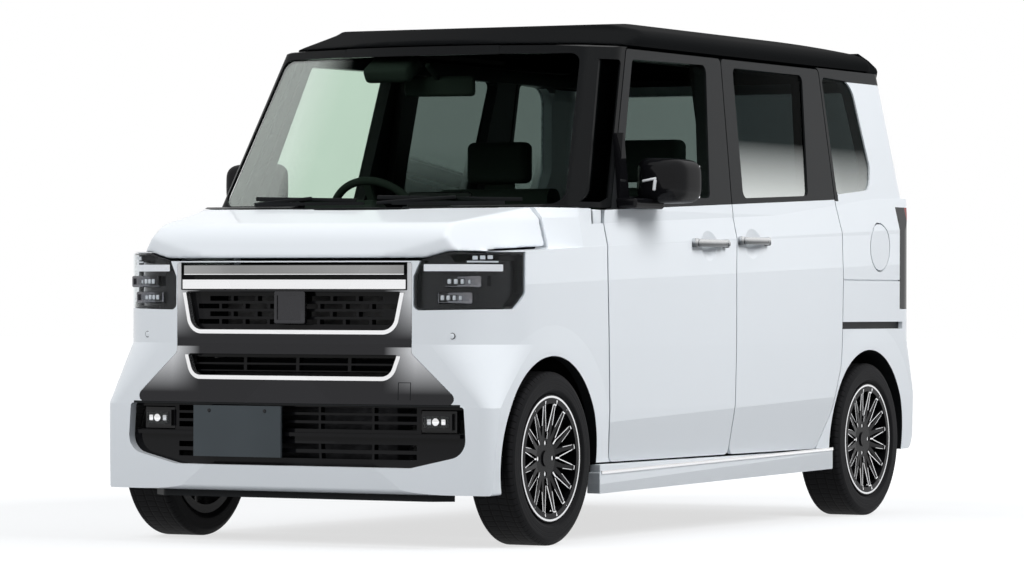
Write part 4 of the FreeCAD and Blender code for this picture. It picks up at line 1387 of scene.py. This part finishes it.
@dataclass
class FrontTrim:
    """Fog lamps, parking sensors, plate bolts, sensor cover and tow lid of the car's front.

    The fog lamp and the plate are given by their lowest and highest x, and their lowest and highest
    z. The lid's joints are given by their x and z, their width and their height.
    """

    fog: tuple[float, float, float, float] = (0.478, 0.566, 0.384, 0.424)
    fog_turn: float = 7.0
    bulb_radius: float = 0.013
    side_block: Point = (0.016, 0.006, 0.020)
    side_gap: float = 0.026
    sensor: tuple[float, float] = (0.571, 0.677)
    sensor_facing: Vector = field(default_factory=lambda: Vector((0.15, -1, 0)).normalized())
    plate: tuple[float, float, float, float] = (-0.350, -0.020, 0.283, 0.448)
    bolt_in: float = 0.06
    bolt_down: float = 0.016
    bar_z: float = 0.84
    cover_z: float = 0.766
    cover_size: Point = (0.118, 0.022, 0.108)
    lid_joints: tuple[tuple[float, float, float, float], ...] = (
        (0.398, 0.500, 0.002, 0.056), (0.440, 0.500, 0.002, 0.056), (0.419, 0.528, 0.044, 0.002))

    def build(self) -> None:
        """Build all the pieces."""
        Bench.pair(self.fog_lens(), "fog_lens", Finish.FOG_LENS, "lamp_lens")
        Bench.pair(self.fog_bulb(), "fog_bulb", Finish.CHROME, "chrome")
        Bench.pair(self.sensor_disc(0.001, 0.0085, 0.006), "parking_sensor", Finish.WHITE, "white_paint")
        Bench.pair(self.sensor_disc(0.0015, 0.0105, 0.005), "sensor_ring", Finish.TRIM, "black_plastic")
        Bench.finish(self.plate_bolts(), "plate_bolts", "root", Finish.DULL_STEEL, "steel")
        Bench.finish(self.plaque(), "grille_plaque", "root", Finish.SMOKED, "smoked_chrome")
        Bench.finish(self.tow_cover(), "tow_cover", "root", Finish.TRIM, "black_plastic")

    def fog_lens(self) -> bpy.types.Object:
        """Make the clear cover of the left fog lamp, with a raised border.

        Returns:
            The cover.
        """
        left, right, low, high = self.fog
        x, z = (left + right) / 2, (low + high) / 2
        centre = (x, front_y("fog_lamps", x, z) - 0.002, z)
        cover = Bench.block(centre, (right - left, 0.010, high - low), bevel=0.003,
                            turn=(0, 0, self.fog_turn))
        turn = math.radians(self.fog_turn)
        Bench.sink(cover, Vector((math.sin(turn), -math.cos(turn), 0)), border=0.004, depth=0.003)
        return cover

    def fog_bulb(self) -> bpy.types.Object:
        """Make the bright round lens of the left fog lamp and the two blocks beside it.

        Returns:
            The lens and the blocks, joined.
        """
        left, right, low, high = self.fog
        x, z = (left + right) / 2, (low + high) / 2
        y = front_y("fog_lamps", x, z) - 0.006
        bulb = Bench.drum((x, y, z), self.bulb_radius, 0.008, BACKWARD, bevel=0.003, sides=24)
        sides = Bench.spread(Bench.block(ORIGIN, self.side_block, bevel=0.003),
                             [(x + shift, y + 0.003, z) for shift in (-self.side_gap, self.side_gap)])
        return Bench.joined([bulb, sides])

    def sensor_disc(self, behind: float, radius: float, depth: float) -> bpy.types.Object:
        """Make the left parking sensor or the dark joint round it.

        Args:
            behind: How far its middle is behind the bumper's face.
            radius: Its radius.
            depth: Its length.

        Returns:
            The disc.
        """
        x, z = self.sensor
        centre = (x, front_y("front_bumper", x, z) + behind, z)
        return Bench.drum(centre, radius, depth, self.sensor_facing, bevel=0.001, sides=24)

    def plate_bolts(self) -> bpy.types.Object:
        """Make the two bolts of the blank plate.

        Returns:
            The bolts, joined.
        """
        left, right, _, high = self.plate
        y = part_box("front_plate")[0].y - 0.001
        bolt = Bench.drum(ORIGIN, radius=0.006, depth=0.004, facing=BACKWARD, bevel=0.001, sides=6)
        return Bench.spread(bolt, [(x, y, high - self.bolt_down)
                                   for x in (left + self.bolt_in, right - self.bolt_in)])

    def plaque(self) -> bpy.types.Object:
        """Make the plain sensor cover in the middle of the upper grille.

        Returns:
            The cover.
        """
        y = front_y("grille_bars", 0.0, self.bar_z) + 0.004
        cover = Bench.block((0.0, y, self.cover_z), self.cover_size, bevel=0.009, segments=4)
        Bench.sink(cover, FORWARD, border=0.006, depth=0.003)
        return cover

    def tow_cover(self) -> bpy.types.Object:
        """Make the joints of the square lid over the towing thread in the lower mask.

        Returns:
            The joints, joined.
        """
        return Bench.joined([Bench.cling((x, -2.2, z), (width, height), FORWARD, cad("grille_mask"),
                                         lift=0.0, thick=0.0006, cuts=(3, 3))
                             for x, z, width, height in self.lid_joints])


@dataclass(frozen=True)
class SpokeStrip:
    """Machined strip on a spoke, between two points of the wheel's face.

    Each point is a distance from the axle, an angle from the spoke's middle in degrees, and a
    height over the face.
    """

    start: tuple[float, float, float]
    end: tuple[float, float, float]
    width: float
    height: float
    rounding: float


@dataclass
class WheelTrim:
    """Machined spoke edges, tips and roots, lug nuts and valves of the four wheels.

    The bright bars at the spokes' roots are machined metal that partly stands for a painted highlight.
    """

    face: float = 0.072
    hub_face: float = 0.056
    hub_radius: float = 0.064
    rim_radius: float = 0.184
    rim_step: float = 0.002
    spokes: int = 8
    # Bars at the spokes' roots: machined metal, and partly a painted highlight.
    root_highlight_strip: SpokeStrip = SpokeStrip((0.064, 0.0, 0.002), (0.086, 0.0, 0.002), 0.0020, 0.006, 0.0005)
    side_strips: tuple[SpokeStrip, ...] = (
        SpokeStrip((0.174, 11.25, 0.0002), (0.192, 11.25, 0.0014), 0.0030, 0.014, 0.0005),
        SpokeStrip((0.088, 2.5, 0.0), (0.182, 9.35, 0.0), 0.0022, 0.0032, 0.0004),
        SpokeStrip((0.112, 18.0, 0.0), (0.182, 13.35, 0.0), 0.0020, 0.0020, 0.0004))
    nut_count: int = 4
    nut_circle: float = 0.050
    nut_radius: float = 0.0095
    nut_out: float = 0.047
    valve: tuple[Point, Point] = ((0.060, 0.0, -0.176), (0.076, 0.0, -0.168))

    def build(self) -> None:
        """Build the trim of every wheel."""
        for piece, name, finish, slot in (
            (self.machined(), "machined", Finish.MACHINED, "alloy"),
            (self.nuts(), "lug_nuts", Finish.CHROME, "chrome"),
        ):
            for end, y in zip(("front", "rear"), AXLES):
                copy = Bench.copied(piece)
                copy.location = (TRACK, y, AXLE_Z)
                Bench.settle(copy)
                Bench.pair(copy, f"{name}_{end}", finish, slot, f"wheel_{end}")
            bpy.data.objects.remove(piece)

    def dish(self, radius: float) -> float:
        """Find the place of the spokes' face along the axle.

        Args:
            radius: The distance from the axle.

        Returns:
            The place, out from the wheel's middle.
        """
        if radius >= self.rim_radius:
            return self.face
        share = max(radius - self.hub_radius, 0) / (self.rim_radius - self.hub_radius)
        return self.hub_face + (self.face - self.rim_step - self.hub_face) * share

    def spot(self, radius: float, degrees: float, lift: float) -> Vector:
        """Find a point on the wheel's face.

        Args:
            radius: Its distance from the axle, in metres.
            degrees: Its angle from straight up.
            lift: Its height over the face.

        Returns:
            The point.
        """
        angle = math.radians(degrees)
        return Vector((self.dish(radius) + lift, radius * math.sin(angle), radius * math.cos(angle)))

    def machined(self) -> bpy.types.Object:
        """Make the bright tips, edges and roots of the forked spokes, at the origin.

        Returns:
            The tips and edges, joined.
        """
        laid = [(self.root_highlight_strip, 1)] + [(strip, side) for side in (-1, 1) for strip in self.side_strips]
        pieces = []
        for index in range(self.spokes):
            centre = index * 360 / self.spokes
            for strip, side in laid:
                start, end = [self.spot(radius, centre + side * angle, lift)
                              for radius, angle, lift in (strip.start, strip.end)]
                pieces.append(Bench.bar(start, end, strip.width, strip.height, strip.rounding))
        return Bench.joined(pieces)

    def nuts(self) -> bpy.types.Object:
        """Make the four lug nuts and the valve, at the origin.

        Returns:
            The nuts and the valve, joined.
        """
        nut = Bench.drum(ORIGIN, self.nut_radius, depth=0.014, facing=OUTWARD, bevel=0.0015, sides=6)
        angles = [math.tau * index / self.nut_count for index in range(self.nut_count)]
        nuts = Bench.spread(nut, [(self.nut_out, self.nut_circle * math.sin(angle),
                                   self.nut_circle * math.cos(angle)) for angle in angles])
        return Bench.joined([nuts, Bench.bar(*self.valve, width=0.005, height=0.005, bevel=0.001)])


@dataclass
class Wipers:
    """Wiper arms and blades at the foot of the windscreen.

    Each blade is given by its ends across the car.
    """

    blades: tuple[tuple[float, float], ...] = ((-0.50, -0.06), (0.02, 0.52))
    start_z: float = 1.132
    end_z: float = 1.122
    foot_z: float = 1.112
    blade_ahead: float = 0.012
    foot_ahead: float = 0.040
    foot_in: float = 0.02
    elbow: Point = (0.03, -0.010, 0.004)

    def build(self) -> None:
        """Build the arms and blades."""
        pieces = []
        for start, end in self.blades:
            low, high = [Vector((x, front_y("windscreen", x, z) - self.blade_ahead, z))
                         for x, z in ((start, self.start_z), (end, self.end_z))]
            pieces.append(Bench.bar(low, high, width=0.007, height=0.014, bevel=0.002))
            foot_y = front_y("windscreen", start, self.foot_z) - self.foot_ahead
            foot = (start + self.foot_in, foot_y, self.foot_z)
            pieces.append(Bench.bar(foot, (low + high) / 2 + Vector(self.elbow), width=0.009,
                                    height=0.012, bevel=0.003))
        Bench.finish(Bench.joined(pieces), "wiper_blades", "root", Finish.TRIM, "black_plastic")


@dataclass
class BodyFillers:
    """Header over the windscreen, roof seals, fenders' upper tips and sills' upper edges.

    The header's edges are heights and places along the car, at the car's middle. The sill is its
    start and end along the car, and its lower and upper height. The seal is its x, its z, and its
    start and end along the car.
    """

    header_half: float = 0.301
    header_low: tuple[float, float] = (1.6165, -0.8690)
    header_high: tuple[float, float] = (1.6475, -0.8506)
    header_thick: float = 0.030
    bow: float = 1.500
    sill: tuple[float, float, float, float] = (-0.930, 0.924, 0.236, 0.2515)
    sill_x: float = 0.7165
    sill_width: float = 0.037
    sill_drop: float = 0.012
    seal: tuple[float, float, float, float] = (0.566, 1.632, -0.640, 1.420)
    seal_width: float = 0.014
    seal_height: float = 0.050
    tip_centre: Point = (0.693, -0.915, 1.060)
    tip_size: Point = (0.042, 0.058, 0.062)

    def build(self) -> None:
        """Build the pieces."""
        Bench.finish(self.header(), "windscreen_header", "root", Finish.PILLARS, "black_paint")
        Bench.pair(self.sill_edge(), "sill_edge", Finish.WHITE, "white_paint")
        Bench.pair(self.roof_seal(), "roof_seal", Finish.TRIM, "black_plastic")
        tip = Bench.block(self.tip_centre, self.tip_size, bevel=0.004)
        Bench.pair(tip, "fender_tip", Finish.WHITE, "white_paint")

    def header(self) -> bpy.types.Object:
        """Make the strip over the middle of the windscreen, bowed as the glass is.

        Its section is stood up at the car's middle, leant, swung to one end, and spun to the other.

        Returns:
            The strip.
        """
        low_z, low_y = self.header_low
        high_z, high_y = self.header_high
        middle = (low_z + high_z) / 2
        centre = (0.0, low_y + self.bow, 0.0)
        swing = math.asin(self.header_half / self.bow)
        bpy.ops.object.select_all(action="DESELECT")
        bpy.ops.mesh.primitive_plane_add(size=1.0, location=(0, low_y + self.header_thick / 2, middle),
                                         rotation=(0, -math.pi / 2, 0))
        strip = bpy.context.active_object
        strip.scale = (high_z - low_z, self.header_thick, 1)
        Bench.settle(strip)
        Bench.shift(strip, lambda at: at.z > middle, (0, high_y - low_y, 0))
        bpy.ops.object.mode_set(mode="EDIT")
        bpy.ops.mesh.select_all(action="SELECT")
        bpy.ops.transform.rotate(value=-swing, orient_axis="Z", center_override=centre)
        bpy.ops.mesh.spin(steps=24, angle=2 * swing, center=centre, axis=(0, 0, 1))
        bpy.ops.mesh.select_all(action="SELECT")
        bpy.ops.mesh.remove_doubles(threshold=0.00001)
        bpy.ops.mesh.normals_make_consistent(inside=False)
        bpy.ops.object.mode_set(mode="OBJECT")
        return strip

    def roof_seal(self) -> bpy.types.Object:
        """Make the long seal under the left edge of the roof, just inside the doors.

        Returns:
            The seal.
        """
        x, z, start, end = self.seal
        size = (self.seal_width, end - start, self.seal_height)
        return Bench.block((x, (start + end) / 2, z), size, bevel=0.004)

    def sill_edge(self) -> bpy.types.Object:
        """Make the white edge between the left skirt and the doors, deeper towards the front.

        Returns:
            The edge.
        """
        start, end, low, high = self.sill
        y, z = (start + end) / 2, (low + high) / 2
        edge = Bench.block((self.sill_x, y, z), (self.sill_width, end - start, high - low), bevel=0.002)
        Bench.shift(edge, lambda at: at.z < z and at.y < y, (0, 0, -self.sill_drop))
        Bench.shift(edge, lambda at: at.z < z and at.y > y, (0, 0, self.sill_drop))
        return edge


@dataclass
class RoundedPanels:
    """Pressed panels with softly rounded folds and edges, in place of the crisp ones.

    A row is a panel's node, body, finish and slot, its new mesh's grain and its smoothing passes.
    """

    panels: tuple[tuple[str, str, Finish, str, float, int], ...] = (
        ("bonnet", "bonnet", Finish.WHITE, "white_paint", 0.006, 14),
        ("roof", "root", Finish.BLACK, "black_paint", 0.012, 8),
    )

    def build(self) -> None:
        """Build every panel."""
        for name, body, finish, slot, grain, passes in self.panels:
            piece = self.rounded(name, grain, passes)
            Bench.finish(piece, f"{name}_panel", body, finish, slot)
            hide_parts(name)

    def rounded(self, name: str, grain: float, passes: int) -> bpy.types.Object:
        """Copy a panel and round its folds.

        Args:
            name: The panel.
            grain: Size of the new mesh's faces.
            passes: How often its folds are smoothed.

        Returns:
            The rounded copy.
        """
        piece = bpy.data.objects.new(f"{name}_panel", cad(name).data.copy())
        bpy.context.scene.collection.objects.link(piece)
        Bench.hold(piece)
        bpy.ops.object.mode_set(mode="EDIT")
        bpy.ops.mesh.select_all(action="SELECT")
        bpy.ops.mesh.remove_doubles(threshold=0.00002)
        bpy.ops.object.mode_set(mode="OBJECT")
        shell = piece.modifiers.new("even", "REMESH")
        shell.mode = "VOXEL"
        shell.voxel_size = grain
        bpy.ops.object.modifier_apply(modifier=shell.name)
        soft = piece.modifiers.new("soft", "SMOOTH")
        soft.factor = 0.5
        soft.iterations = passes
        bpy.ops.object.modifier_apply(modifier=soft.name)
        return piece


@dataclass
class MirrorTrim:
    """Rounded caps, turn lamps and glass of the door mirrors.

    The turn lamp's arm and hook are places from the middle of the cap's front, and sizes.
    """

    centre: Point = (0.807, -0.568, 1.191)
    size: Point = (0.188, 0.178, 0.146)
    rounding: float = 0.045
    rise: float = 0.010
    sag: float = 0.004
    lamp_arm: tuple[Point, Point] = ((-0.030, 0.0, 0.004), (0.052, 0.012, 0.009))
    lamp_hook: tuple[Point, Point] = ((-0.010, 0.0, -0.014), (0.011, 0.012, 0.038))
    pane: Point = (0.140, 0.008, 0.110)

    def build(self) -> None:
        """Build the trim of both mirrors."""
        Bench.pair(self.cap(), "mirror_cap", Finish.GLOSS_TRIM, "gloss_black", "front_door")
        Bench.pair(self.turn_lamp(), "mirror_turn_lamp", Finish.LAMP_WHITE, "lamp_lens", "front_door")
        Bench.pair(self.glass(), "mirror_glass", Finish.CHROME, "chrome", "front_door")

    def cap(self) -> bpy.types.Object:
        """Make the left-hand cap, fuller towards its inner end.

        Returns:
            The cap.
        """
        x, _, z = self.centre
        cap = Bench.block(self.centre, self.size, self.rounding, segments=5)
        levels: list[float] = []
        for place in sorted(vertex.co.x for vertex in cap.data.vertices):
            if not levels or place - levels[-1] > 0.0001:
                levels.append(place)
        for level in levels:
            share = 0.5 - (level - x) / self.size[0]
            Bench.shift(cap, lambda at: abs(at.x - level) < 0.0001 and at.z > z, (0, 0, self.rise * share))
            Bench.shift(cap, lambda at: abs(at.x - level) < 0.0001 and at.z < z, (0, 0, -self.sag * share))
        soft = cap.modifiers.new("soft", "SUBSURF")
        soft.levels = soft.render_levels = 1
        bpy.ops.object.modifier_apply(modifier=soft.name)
        return cap

    def turn_lamp(self) -> bpy.types.Object:
        """Make the hooked turn lamp at the inner end of the left-hand cap's front.

        Returns:
            The lamp.
        """
        front = Vector(self.centre) - Vector((0, self.size[1] / 2, 0))
        arms = [Bench.block(front + Vector(place), size, bevel=0.004, turn=(0, lean, 3))
                for (place, size), lean in ((self.lamp_arm, -10), (self.lamp_hook, 8))]
        return Bench.joined(arms)

    def glass(self) -> bpy.types.Object:
        """Make the glass of the left-hand mirror, sunk in a border.

        Returns:
            The glass.
        """
        x, y, z = self.centre
        pane = Bench.block((x, y + self.size[1] / 2 + 0.001, z), self.pane, bevel=0.003)
        Bench.sink(pane, BACKWARD, border=0.004, depth=0.001)
        return pane


@dataclass
class CabinTrim:
    """What shows through the glass: mirror, sensor pod, centre screen and meter hood.

    Each block is a middle, a size, a rounding and a turn in degrees.
    """

    mirror: tuple[Point, Point, float, Point] = (
        (0.0, -0.700, 1.520), (0.250, 0.030, 0.070), 0.014, (8, 0, 12))
    mirror_stem: tuple[Point, Point] = ((0.0, -0.715, 1.545), (0.0, -0.790, 1.590))
    stem_width: float = 0.016
    pod: tuple[Point, Point, float, Point] = (
        (-0.13, -0.800, 1.575), (0.180, 0.110, 0.060), 0.020, (30, 0, 0))
    screen: tuple[Point, Point, float, Point] = (
        (0.02, -0.745, 1.085), (0.24, 0.030, 0.150), 0.010, (-14, 0, 0))
    screen_facing: Vector = field(default_factory=lambda: Vector((0, 0.97, 0.242)))
    hood: tuple[Point, Point, float, Point] = (
        (-0.340, -0.760, 1.090), (0.290, 0.110, 0.075), 0.022, (-10, 0, 0))

    def build(self) -> None:
        """Build the cabin's small pieces."""
        stem = Bench.bar(*self.mirror_stem, self.stem_width, self.stem_width, bevel=0.004)
        mirror = Bench.joined([Bench.block(*self.mirror, segments=4), stem])
        Bench.finish(mirror, "inside_mirror", "root", Finish.CABIN, "trim")
        Bench.finish(Bench.block(*self.pod, segments=4), "sensor_pod", "root", Finish.CABIN, "trim")
        screen = Bench.block(*self.screen)
        Bench.sink(screen, self.screen_facing, border=0.008, depth=0.002)
        Bench.finish(screen, "centre_screen", "root", Finish.GLOSS_TRIM, "gloss_black")
        Bench.finish(Bench.block(*self.hood, segments=4), "meter_hood", "root", Finish.CABIN, "trim")


@dataclass
class RearTrim:
    """Handle strip of the tailgate and reflectors of the rear bumper."""

    strip_in: float = 0.006
    strip_z: float = 0.930
    strip_size: Point = (0.800, 0.030, 0.034)
    reflector: Point = (0.560, 1.694, 0.360)
    reflector_size: Point = (0.150, 0.010, 0.030)

    def build(self) -> None:
        """Build the pieces at the car's back."""
        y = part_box("tailgate")[1].y - self.strip_in
        strip = Bench.block((0.0, y, self.strip_z), self.strip_size, bevel=0.008)
        Bench.sink(strip, BACKWARD, border=0.005, depth=0.002)
        Bench.finish(strip, "tailgate_strip", "tailgate", Finish.CHROME, "chrome")
        glow = Bench.block(self.reflector, self.reflector_size, bevel=0.003)
        Bench.sink(glow, BACKWARD, border=0.003, depth=0.001)
        Bench.pair(glow, "rear_reflector", Finish.RED_LENS, "red_lens")


# ---- finding places on the CAD pieces --------------------------------------------------------
def cad(name: str) -> bpy.types.Object:
    """Get a CAD piece by its name."""
    return frame["nodes"][name]


def front_y(name: str, x: float, z: float) -> float:
    """Find the front face of a CAD piece.

    Args:
        name: The piece.
        x: Place across the car.
        z: Height.

    Returns:
        Y where a line from in front first meets the piece, or the front of its box.
    """
    hit, place, _, _ = cad(name).ray_cast(Vector((x, -3.0, z)), BACKWARD)
    return place.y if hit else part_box(name)[0].y


def main() -> None:
    """Build the scene in order and log each step."""
    logging.basicConfig(level=logging.INFO, format="%(name)s %(message)s")
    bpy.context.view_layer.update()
    Studio().build()
    Dresser(frame["nodes"]).build()
    for part in (DoorHandles(), SkirtTrim(), Headlamps(), FrontTrim(), WheelTrim(), Wipers(),
                 BodyFillers(), RoundedPanels(), MirrorTrim(), CabinTrim(), RearTrim()):
        part.build()


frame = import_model()

if __name__ == "__main__":
    main()
